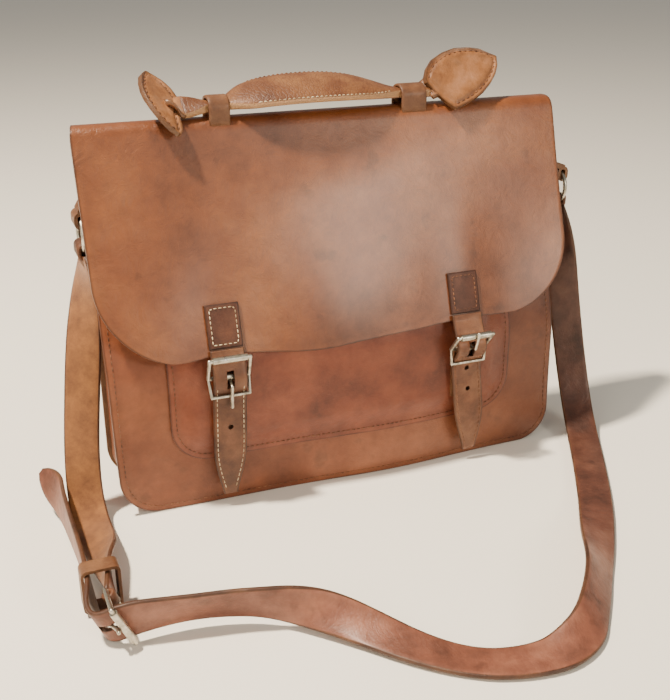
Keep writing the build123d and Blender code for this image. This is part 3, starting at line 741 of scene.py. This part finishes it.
def flap():
    def surface(s, t):
        share = 2 * s - 1
        base = FLAP_LENGTH * (1 - (1 - t) ** 1.25)
        left_over = FLAP_LENGTH - base
        inside = FLAP_CORNER_R - left_over
        half = FLAP_W / 2
        if inside > 0:
            half -= FLAP_CORNER_R - math.sqrt(max(FLAP_CORNER_R ** 2 - inside ** 2, 0.0))
        half -= 6.5 * (1 - smooth(base / 42.0))
        x = share * half
        distance = base + flap_droop(x) * smooth((base - FLAP_LENGTH * 0.55) / (FLAP_LENGTH * 0.45))
        return flap_point(x, distance)
    piece = hide_sheet("flap_hide", surface, 120, 96, HIDE_T, FLAP_HIDE, FLESH_DARK, flip=True)
    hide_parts("flap")
    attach(piece, "flap")


def flap_fold():
    """The hide where the back turns into the flap."""
    def surface(s, t):
        x = (2 * s - 1) * (PANEL_W / 2 - 0.5 + 3.0 * t)
        return Vector((x, BACK_Y + 0.9, 247.0 + 17.0 * t))
    piece = hide_sheet("flap_fold_hide", surface, 40, 24, 0.9, BODY_HIDE, BODY_HIDE, flip=True)
    bake_modifiers(piece)
    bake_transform(piece)


def bake_modifiers(piece):
    """Applies a piece's modifiers to its mesh."""
    graph = bpy.context.evaluated_depsgraph_get()
    mesh = bpy.data.meshes.new_from_object(piece.evaluated_get(graph))
    piece.modifiers.clear()
    piece.data = mesh


# ---- closures ----------------------------------------------------------------------------------
CLOSURE_LINES = {
    "left": [(-42.0, 126.0), (-42.8, 123.0), (-43.9, 120.5), (-46.5, 113.0), (-49.4, 105.2),
             (-44.4, 93.0), (-43.7, 81.0), (-43.6, 62.0), (-42.6, 40.0), (-41.2, 24.0),
             (-40.8, 11.0)],
    "right": [(-42.0, 126.0), (-43.0, 122.6), (-43.7, 121.0), (-49.0, 111.4), (-55.0, 101.2),
              (-43.7, 88.9), (-43.7, 80.0), (-44.2, 62.0), (-44.4, 40.0), (-43.6, 24.0),
              (-43.0, 10.0)],
}
HOLES_Z = {"left": (67.0,), "right": (82.5, 64.6)}
HOLE_R = 1.9
WINDOW_Z = {"left": 105.5, "right": 100.5}  # middle of the slot the prong stands in
WINDOW_HALF = (3.8, 9.5)
HOLE_SLANT = {"left": -1.5, "right": 7.0}  # how far the holes wander sideways by the tip
CLOSURE_T = 2.6
CLOSURE_THREAD = {"left": PALE_THREAD, "right": DARK_THREAD}


def strap_line(side):
    """A closure strap's middle line: a smooth spline through its turns, in millimetres."""
    x = STRAP_X[side]
    slant = 7.0 if side == "right" else -1.5
    rows = []
    for y, z in CLOSURE_LINES[side]:
        shift = slant * smooth((100.0 - z) / 90.0)
        rows.append(((x + shift, y, z), (1.0, 0.0, 0.0)))
    return spline_frames(rows, 9)


def spline_frames(rows, resolution):
    """Points and width directions read from the NURBS splines of a route."""
    lines = []
    for reach in (0.0, 10.0):
        curve = bpy.data.curves.new("route", "CURVE")
        curve.dimensions = "3D"
        spline = curve.splines.new("NURBS")
        spline.points.add(len(rows) - 1)
        for point, (place, across) in zip(spline.points, rows):
            place = Vector(place) + Vector(across).normalized() * reach
            point.co = (*place, 1.0)
        spline.order_u = 3
        spline.use_endpoint_u = True
        spline.resolution_u = resolution
        holder = bpy.data.objects.new("route", curve)
        bpy.context.scene.collection.objects.link(holder)
        bpy.context.view_layer.update()
        graph = bpy.context.evaluated_depsgraph_get()
        mesh = bpy.data.meshes.new_from_object(holder.evaluated_get(graph))
        lines.append([vertex.co.copy() for vertex in mesh.vertices])
        bpy.data.objects.remove(holder)
        bpy.data.curves.remove(curve)
        bpy.data.meshes.remove(mesh)
    centres, others = lines
    return centres, [(b - a).normalized() for a, b in zip(centres, others)]


def punch(piece, cutters):
    """Cuts holes through a piece with closed prisms."""
    for cutter in cutters:
        cut = piece.modifiers.new("hole", "BOOLEAN")
        cut.operation = "DIFFERENCE"
        cut.solver = "EXACT"
        cut.object = cutter
    bake_modifiers(piece)
    for cutter in cutters:
        bpy.data.objects.remove(cutter)


def post(x, z, half_x, half_z, sides, y_low=-70.0, y_high=-30.0):
    """A prism along Y: round where it has many sides."""
    points, faces = [], []
    for y in (y_low, y_high):
        for k in range(sides):
            angle = 2 * math.pi * (k + 0.5) / sides
            points.append((x + half_x * math.cos(angle), y, z + half_z * math.sin(angle)))
    for k in range(sides):
        n = (k + 1) % sides
        faces.append((k, n, n + sides, k + sides))
    faces.append(tuple(range(sides))[::-1])
    faces.append(tuple(range(sides, 2 * sides)))
    return make_piece("cutter", points, faces, [DARK_THREAD])


def closure(side):
    x = STRAP_X[side]
    centres, acrosses = strap_line(side)
    tip_z = centres[-1].z
    taper = []
    for centre in centres:
        share = (centre.z - tip_z) / 40.0
        taper.append(1.0 if share >= 1 else 0.42 + 0.58 * math.sin(share * math.pi / 2) ** 1.15)
    strap = swept_strap(f"closure_strap_{side}_harness", centres, acrosses, STRAP_W, CLOSURE_T,
                        [HARNESS, HARNESS, FLESH_DARK], taper)
    cutters = []
    for z in HOLES_Z[side]:
        aside = HOLE_SLANT[side] * smooth((100.0 - z) / 90.0)
        cutters.append(post(x + aside, z, HOLE_R, HOLE_R, 14))
    cutters.append(post(x, WINDOW_Z[side], *WINDOW_HALF, 4))
    punch(strap, cutters)
    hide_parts(f"closure_strap_{side}")
    body = f"closure_strap_{side}"
    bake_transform(strap)
    for sign in (-1, 1):
        seam = []
        for centre, across, share in zip(centres, acrosses, taper):
            if centre.z > 100.0 or centre.z < tip_z + 3.0:
                continue
            seam.append(centre + across * sign * (STRAP_W / 2 * share - 2.6) + Vector((0, -1.35, 0)))
        if len(seam) > 2:
            name = "a" if sign < 0 else "b"
            stitching(f"closure_strap_{side}_seam_{name}", seam, lambda p: (0, -1, 0), body,
                      CLOSURE_THREAD[side], pitch=4.0, radius=0.36)
    strap_patch(side, x)


def strap_patch(side, x):
    """The strap's sewn end, flat on the flap."""
    low = FLAP_LENGTH - 4.8
    high = low - 31.5

    def surface(s, t):
        distance = low + (high - low) * t
        return flap_point(x + (2 * s - 1) * STRAP_W / 2, distance, 2.4)
    patch = hide_sheet(f"strap_patch_{side}_hide", surface, 14, 18, 2.7, PATCH_HIDE, PATCH_HIDE)
    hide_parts(f"strap_patch_{side}")
    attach(patch, "flap")
    reach = STRAP_W / 2 - 3.0
    corners = [(-reach, low - 3.0), (reach, low - 3.0), (reach, high + 3.0), (-reach, high + 3.0),
               (-reach, low - 3.0)]
    seam = []
    for (x_a, d_a), (x_b, d_b) in zip(corners, corners[1:]):
        for k in range(6):
            share = k / 6
            seam.append(flap_point(x + x_a + (x_b - x_a) * share, d_a + (d_b - d_a) * share, 2.45))
    seam.append(seam[0].copy())
    stitching(f"strap_patch_{side}_seam", seam, lambda p: (0, -1, 0.33), "flap",
              CLOSURE_THREAD[side], pitch=3.6)


# ---- handle -----------------------------------------------------------------------------------
GRIP_TILT = math.radians(18.0)
GRIP = [  # x, middle height, width, thickness, rim, share of the tilt
    (-107.0, 283.4, 20.0, 6.0, 4.2, 2.0), (-98.0, 283.4, 18.0, 6.2, 4.4, 1.8),
    (-90.0, 283.2, 13.4, 6.6, 4.8, 0.2), (-76.0, 283.6, 14.0, 7.0, 4.2, 0.2),
    (-71.0, 285.4, 24.0, 8.6, 3.2, 0.7), (-62.0, 288.0, 34.0, 10.0, 2.8, 1),
    (-48.0, 290.2, 40.0, 10.8, 2.6, 1), (-30.0, 291.6, 43.0, 11.2, 2.6, 1),
    (-11.0, 292.0, 43.5, 11.4, 2.6, 1), (6.0, 291.6, 42.0, 11.2, 2.6, 1),
    (21.0, 290.4, 37.5, 10.6, 2.6, 1), (34.0, 288.2, 30.5, 9.6, 2.8, 0.9),
    (46.0, 285.8, 22.0, 8.4, 3.2, 0.6), (55.0, 284.4, 14.4, 7.0, 4.2, 0.2),
    (66.0, 284.0, 13.2, 6.6, 4.8, 0), (81.0, 284.2, 15.0, 6.6, 4.6, 0.6),
]
# A handle end is a flat leaf: distance along its chord, and its edge either side there.
LEAVES = {
    "left": {
        "start": (-114.3, -2.4, 269.2), "along": (-0.195, 0.76, 0.62),
        "up": (0.843, 0.454, -0.291), "neck": (-106.0, 20.0, 282.8),
        "edge": [(0, 1, 1), (4, 6, 4), (8, 9.5, 5.2), (14, 13, 6), (20, 15.5, 8), (27, 17, 12.5),
                 (34, 16.6, 14.5), (42, 14, 13.2), (50, 9.5, 9), (55, 5, 5), (58, 1, 1)],
    },
    "right": {
        "start": (95.6, 6.5, 272.5), "along": (0.768, 0.332, 0.546),
        "up": (-0.638, 0.445, 0.628), "neck": (80.0, 20.0, 284.2),
        "edge": [(0, 1, 27), (3, 3.2, 30.5), (9, 5.5, 33.5), (18, 8.2, 35), (28, 9.8, 33),
                 (38, 9.6, 28.5), (47, 7.8, 21), (54, 4.8, 13), (58, 2, 5), (60, 0.5, 1)],
    },
}


def handle():
    xs = np.array([row[0] for row in GRIP])
    columns = [np.array([row[k] for row in GRIP]) for k in range(1, 6)]
    stations = np.linspace(xs[0], xs[-1], 90)
    z, width, middle, rim, tilt = [eased(stations, xs, column) for column in columns]
    centres = [(x, HANDLE_Y, height) for x, height in zip(stations, z)]
    across = [(0.0, math.cos(GRIP_TILT * t), math.sin(GRIP_TILT * t)) for t in tilt]
    grip = lofted_pad("handle_grip_padded", centres, across, list(width), list(middle),
                      list(rim), [HANDLE_HIDE, FLESH])
    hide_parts("handle_top", "handle_lining", "handle_core")
    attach(grip, "handle")
    for sign in (-1, 1):
        seam = []
        for k in range(24, 74):
            reach = Vector(across[k])
            up = Vector((0.0, -reach.z, reach.y))
            seam.append(Vector(centres[k]) + reach * sign * (width[k] / 2 - 2.2)
                        + up * (rim[k] / 2 + 0.9))
        stitching("handle_grip_seam_" + ("a" if sign < 0 else "b"), seam, lambda p: (0, -0.3, 1),
                  "handle", PALE_THREAD if sign < 0 else DARK_THREAD, pitch=3.4, radius=0.42)
    for side in ("left", "right"):
        leaf(side)


def eased(stations, xs, values):
    """Values at the stations, with the corners of straight interpolation smoothed away."""
    made = np.interp(stations, xs, values)
    for _ in range(6):
        made[1:-1] = 0.25 * made[:-2] + 0.5 * made[1:-1] + 0.25 * made[2:]
    return made


def leaf(side):
    """A handle's end: a leaf of leather, dished and stitched round its rim."""
    shape = LEAVES[side]
    along = Vector(shape["along"]).normalized()
    up = Vector(shape["up"])
    up = (up - along * up.dot(along)).normalized()
    face = along.cross(up)
    start = Vector(shape["start"])
    reaches = [row[0] for row in shape["edge"]]
    below = [row[1] for row in shape["edge"]]
    above = [row[2] for row in shape["edge"]]
    length = reaches[-1]
    toward = 1.0 if face.y < 0 else -1.0

    def place(reach, share, lift=0.0):
        low = float(np.interp(reach, reaches, below))
        high = float(np.interp(reach, reaches, above))
        height = -low + (low + high) * share
        rim = min(low + height, high - height, reach, length - reach)
        swell = 1.5 * smooth(rim / 9.0) - 0.9 * hump(rim, 3.2, 1.3)
        dish = 2.2 * (2 * share - 1) ** 2 * smooth((low + high - 3.0) / 24.0)
        return start + along * reach + up * height + face * toward * (swell + dish + lift)

    def surface(s, t):
        reach = length * (0.5 - 0.5 * math.cos(math.pi * t))
        return place(reach, s, 1.2)
    piece = hide_sheet(f"handle_leaf_{side}", surface, 40, 60, 3.2, SPADE_HIDE, FLESH,
                       flip=toward > 0)
    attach(piece, "handle")
    seam = []
    for low_side in (True, False):
        run = []
        for k in range(41):
            reach = 3.4 + (length - 6.8) * k / 40
            low = float(np.interp(reach, reaches, below))
            high = float(np.interp(reach, reaches, above))
            inset = min(3.2 / max(low + high, 1.0), 0.5)
            run.append(place(reach, inset if low_side else 1 - inset, 1.3))
        seam += run if low_side else run[::-1]
    stitching(f"handle_leaf_{side}_seam", seam, lambda p: face * toward, "handle", DARK_THREAD,
              pitch=4.6, gap=0.4, radius=0.5)
    neck_start = Vector(shape["neck"])
    neck_end = place(length * (0.42 if side == "left" else 0.16), 0.72 if side == "left" else 0.6,
                     -3.6)
    neck = [neck_start.lerp(neck_end, k / 8) + Vector((0, 0, 1.2 * math.sin(math.pi * k / 8)))
            for k in range(9)]
    tipped = Vector((0.0, 0.81, 0.59))
    flat = [tipped.lerp(up * (1.0 if up.y > 0 else -1.0), smooth(k / 8)) for k in range(9)]
    strip = swept_strap(f"handle_neck_{side}", neck, flat, 19.0, 5.0,
                        [SPADE_HIDE, HANDLE_HIDE, FLESH])
    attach(strip, "handle")


def handle_loop(side):
    """A leather band sewn through the ridge and drawn snug over the handle's neck."""
    low, high = (-90.0, -75.0) if side == "left" else (56.0, 76.0)
    route = [(HANDLE_Y - 8.6, 270.0), (HANDLE_Y - 8.8, 276.0), (HANDLE_Y - 9.0, 281.5)]
    for k in range(13):
        angle = math.pi * (1 - k / 12)
        route.append((HANDLE_Y + 8.7 * math.cos(angle), 283.0 + 6.6 * math.sin(angle)))
    route += [(HANDLE_Y + 9.0, 281.5), (HANDLE_Y + 8.8, 276.0), (HANDLE_Y + 8.6, 270.0)]
    middle = (low + high) / 2
    centres = [(middle, y, z) for y, z in route]
    band = swept_strap(f"handle_loop_{side}_band", centres, [(1.0, 0.0, 0.0)] * len(centres),
                       high - low, 2.4, [FITTINGS, FITTINGS, FITTINGS])
    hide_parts(f"handle_loop_{side}")
    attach(band, "flap")


# ---- shoulder strap ------------------------------------------------------------------------------
# Each row is a point of the strap's route and the direction across its width there.
LONG_STRAP = [
    ((199.0, 15.0, 187.3), (0.0, 1.0, 0.0)),
    ((203.0, 10.0, 160.0), (-0.55, 0.83, 0.0)),
    ((207.0, 4.0, 117.0), (-0.93, 0.37, 0.0)),
    ((213.0, -5.0, 61.0), (-0.93, 0.37, 0.0)),
    ((213.0, -22.0, 20.0), (-0.93, 0.37, 0.0)),
    ((203.0, -48.0, 5.0), (-0.92, 0.38, 0.0)),
    ((194.0, -66.0, 3.0), (-0.9, 0.42, 0.0)),
    ((173.0, -104.0, 3.0), (-0.86, 0.5, 0.0)),
    ((149.0, -145.0, 3.5), (-0.83, 0.55, 0.05)),
    ((124.0, -182.0, 6.5), (-0.78, 0.55, 0.30)),
    ((99.0, -219.0, 10.8), (-0.5, 0.5, 0.72)),
    ((85.0, -238.0, 11.4), (-0.45, 0.5, 0.74)),
    ((71.0, -254.5, 11.0), (-0.4, 0.58, 0.70)),
    ((58.0, -268.0, 9.5), (-0.3, 0.75, 0.56)),
    ((42.0, -276.0, 6.8), (-0.1, 0.93, 0.34)),
    ((24.0, -279.0, 4.2), (0.1, 0.99, 0.08)),
    ((-5.0, -273.0, 3.0), (0.25, 0.97, 0.0)),
    ((-27.0, -260.0, 3.0), (0.55, 0.83, 0.0)),
    ((-47.0, -242.0, 5.0), (0.7, 0.7, 0.1)),
    ((-65.0, -222.0, 8.5), (0.68, 0.65, 0.34)),
    ((-84.0, -205.0, 14.0), (0.4, 0.55, 0.73)),
    ((-104.0, -194.5, 18.5), (0.1, 0.1, 0.99)),
    ((-123.0, -186.5, 20.0), (-0.1, -0.2, 0.97)),
    ((-142.0, -180.0, 20.0), (-0.08, -0.3, 0.95)),
    ((-162.0, -176.0, 20.0), (-0.15, -0.33, 0.93)),
    ((-183.0, -173.5, 20.0), (-0.35, -0.2, 0.92)),
    ((-203.0, -172.2, 19.5), (-0.42, 0.0, 0.907)),
    ((-216.5, -168.8, 13.6), (-0.42, 0.0, 0.907)),
    ((-220.0, -157.0, 14.8), (-0.38, 0.0, 0.92)),
    ((-218.2, -143.0, 17.4), (-0.2, 0.0, 0.98)),
    ((-217.3, -128.0, 18.6), (-0.12, 0.0, 0.99)),
    ((-217.5, -98.0, 18.0), (-0.05, 0.0, 1.0)),
    ((-218.5, -57.0, 16.0), (0.0, 0.0, 1.0)),
    ((-220.0, -25.0, 18.0), (0.1, 0.0, 0.99)),
    ((-223.5, -5.0, 25.0), (0.35, 0.1, 0.9)),
    ((-229.0, 8.0, 30.0), (0.5, 0.2, 0.8)),
]
SHORT_STRAP = [
    ((-183.4, 15.0, 187.3), (0.0, -1.0, 0.0)),
    ((-185.5, 9.0, 160.0), (0.6, -0.8, 0.0)),
    ((-191.5, 0.0, 124.0), (0.93, -0.37, 0.0)),
    ((-196.5, -3.0, 87.0), (0.93, -0.37, 0.0)),
    ((-201.0, -8.0, 51.0), (0.93, -0.37, 0.0)),
    ((-203.0, -16.0, 20.0), (0.95, -0.2, 0.0)),
    ((-202.5, -32.0, 5.5), (0.98, -0.1, 0.1)),
    ((-202.0, -55.0, 5.5), (0.95, 0.0, 0.25)),
    ((-202.0, -85.0, 11.5), (0.75, 0.0, 0.66)),
    ((-203.5, -110.0, 16.0), (0.25, 0.0, 0.97)),
    ((-205.0, -134.0, 18.0), (-0.15, 0.0, 0.99)),
    ((-205.5, -152.2, 18.3), (-0.42, 0.0, 0.907)),
]
SHOULDER_W = 25.4
SHOULDER_T = 3.0
HEEL = Vector((-205.5, -156.0, 18.3))
ROLLER = Vector((-205.5, -177.0, 18.3))
BUCKLE_UP = Vector((-0.42, 0.0, 0.907)).normalized()
RINGS = {"left": Vector((-183.4, 15.0, 203.0)), "right": Vector((199.0, 15.0, 203.0))}


def line_length(points):
    return sum((b - a).length for a, b in zip(points, points[1:]))


def ribbon(name, rows, materials, tip=0.0):
    centres, acrosses = spline_frames(rows, 8)
    total = line_length(centres)
    taper = None
    if tip:
        taper = []
        gone = 0.0
        for before, here in zip([centres[0]] + centres, centres):
            gone += (here - before).length
            share = min((total - gone) / tip, 1.0)
            taper.append(0.2 + 0.8 * math.sin(share * math.pi / 2) ** 0.7)
    piece = swept_strap(name, centres, acrosses, SHOULDER_W, SHOULDER_T, materials, taper)
    return piece, centres, acrosses, total


def eye_ring(name, centre, axis, out, width, bore, wall, long=0.0):
    """Leather folded round a wire: a stadium-shaped sleeve along axis."""
    axis = Vector(axis).normalized()
    out = Vector(out).normalized()
    other = axis.cross(out)
    loop = []
    for k in range(24):
        angle = 2 * math.pi * k / 24
        lift = long / 2 if math.cos(angle) > 0 else -long / 2
        loop.append((math.cos(angle), math.sin(angle), lift))
    points, faces = [], []
    half = width / 2
    corner = 0.5
    rings = [(bore, -half), (bore + wall - corner, -half), (bore + wall, -half + corner),
             (bore + wall, half - corner), (bore + wall - corner, half), (bore, half)]
    for radius, reach in rings:
        for c, s, lift in loop:
            points.append(centre + out * (c * radius + lift) + other * (s * radius) + axis * reach)
    for r in range(len(rings)):
        n = (r + 1) % len(rings)
        for k in range(24):
            m = (k + 1) % 24
            faces.append((r * 24 + k, r * 24 + m, n * 24 + m, n * 24 + k))
    return make_piece(name, points, faces, [HARNESS], None, [3.0] * len(points))


def shoulder_strap():
    long_piece, centres, _, total = ribbon(
        "shoulder_strap_long_leather", LONG_STRAP, [HARNESS, FLESH_DARK, STRAP_GRAIN], tip=26.0)
    hole = (HEEL + ROLLER) / 2 + BUCKLE_UP.cross(Vector((0, 1, 0))) * 6.0
    punch(long_piece, [slot_cutter(hole)])
    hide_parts("shoulder_strap_long")
    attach(long_piece, "root")
    [tuple(c * MM) for c in centres]
    short_piece, short_centres, _, short_total = ribbon(
        "shoulder_strap_short_leather", SHORT_STRAP, [HARNESS, FLESH, STRAP_GRAIN])
    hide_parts("shoulder_strap_short")
    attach(short_piece, "root")
    pieces = [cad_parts[n] for n in
              ("strap_buckle_frame", "strap_buckle_roller", "strap_buckle_prong", "strap_keeper")]
    for sign, label in ((-1, "low"), (1, "high")):
        fold = eye_ring(f"shoulder_strap_heel_fold_{label}", HEEL + BUCKLE_UP * sign * 7.6,
                        BUCKLE_UP, (0, 1, 0), 9.0, 1.85, 2.4)
        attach(fold, "root")
        pieces.append(fold)
    [tuple(c * MM) for c in short_centres]
    for side in ("left", "right"):
        middle = RINGS[side] - Vector((0, 0, 10.93))
        fold = eye_ring(f"strap_end_fold_{side}", middle, (0, 1, 0), (0, 0, 1), 18.0, 2.1, 2.6, 2.9)
        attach(fold, "root")


def slot_cutter(centre):
    """A small block across the shoulder strap's turn, for the prong."""
    up = BUCKLE_UP
    back = Vector((0, 1, 0))
    side = up.cross(back).normalized()
    points = [centre + side * a + back * b + up * c
              for a in (-8.0, 8.0) for b in (-8.0, 8.0) for c in (-2.2, 2.2)]
    faces = [(0, 1, 3, 2), (4, 6, 7, 5), (0, 4, 5, 1), (2, 3, 7, 6), (0, 2, 6, 4), (1, 5, 7, 3)]
    return make_piece("cutter", points, faces, [DARK_THREAD])


# ---- carried-over hardware and small leather ------------------------------------------------------
def finish_node(name, material):
    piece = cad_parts[name]
    piece.data.materials.clear()
    piece.data.materials.append(material)


def small_parts():
    for side in ("left", "right"):
        for name in ("buckle_frame", "buckle_roller", "buckle_prong", "side_ring"):
            finish_node(f"{name}_{side}", NICKEL)
        for name in ("buckle_chape", "side_tab"):
            finish_node(f"{name}_{side}", FITTINGS)
    for name in ("strap_buckle_frame", "strap_buckle_roller", "strap_buckle_prong"):
        finish_node(name, NICKEL)
    finish_node("strap_keeper", FITTINGS)


# ---- studio ----------------------------------------------------------------------------------------
def plain_floor():
    material, _, shader = new_material("studio_floor_paint")
    shader.inputs["Base Color"].default_value = linear("#F7F1E6")
    shader.inputs["Roughness"].default_value = 0.75
    mesh = bpy.data.meshes.new("studio_floor")
    reach = 6.0
    mesh.from_pydata([(-reach, -reach, 0), (reach, -reach, 0), (reach, reach, 0),
                      (-reach, reach, 0)], [], [(0, 1, 2, 3)])
    mesh.materials.append(material)
    floor = bpy.data.objects.new("studio_floor", mesh)
    bpy.context.scene.collection.objects.link(floor)


def softbox(name, place, target, size, power, colour):
    light = bpy.data.lights.new(name, "AREA")
    light.shape = "RECTANGLE"
    light.size, light.size_y = size
    light.energy = power
    light.color = linear(colour)[:3]
    lamp = bpy.data.objects.new(name, light)
    lamp.location = place
    lamp.rotation_euler = (Vector(target) - Vector(place)).to_track_quat("-Z", "Y").to_euler()
    bpy.context.scene.collection.objects.link(lamp)


def studio():
    plain_floor()
    world = bpy.data.worlds.new("studio_air")
    world.use_nodes = True
    background = world.node_tree.nodes["Background"]
    background.inputs["Color"].default_value = linear("#E6E3DC")
    background.inputs["Strength"].default_value = 0.42
    bpy.context.scene.world = world
    softbox("high_window", (-0.85, -0.04, 1.9), (0.0, 0.0, 0.1), (0.13, 0.13), 100.0, "#FFEFD8")
    softbox("front_window", (1.15, -2.45, 1.12), (0.02, 0.0, 0.2), (0.66, 0.5), 31.0, "#FFF4E2")
    softbox("left_fill", (-1.8, -1.2, 1.2), (0.0, 0.0, 0.1), (1.2, 1.2), 17.0, "#FFF1DE")


def camera():
    data = bpy.data.cameras.new("camera")
    data.sensor_fit = "HORIZONTAL"
    data.sensor_width = 36.0
    data.lens = 54.5
    eye = bpy.data.objects.new("camera", data)
    eye.location = (-0.2698, -0.6753, 0.4012)
    target = Vector((0.0039, 0.013, 0.088))
    look = (target - eye.location).to_track_quat("-Z", "Y")
    eye.rotation_euler = look.to_euler()
    bpy.context.scene.collection.objects.link(eye)
    bpy.context.scene.camera = eye


back_panel()
gusset()
front_panel()
front_pocket()
flap()
flap_fold()
closure("left")
closure("right")
handle()
handle_loop("left")
handle_loop("right")
shoulder_strap()
small_parts()
studio()
camera()
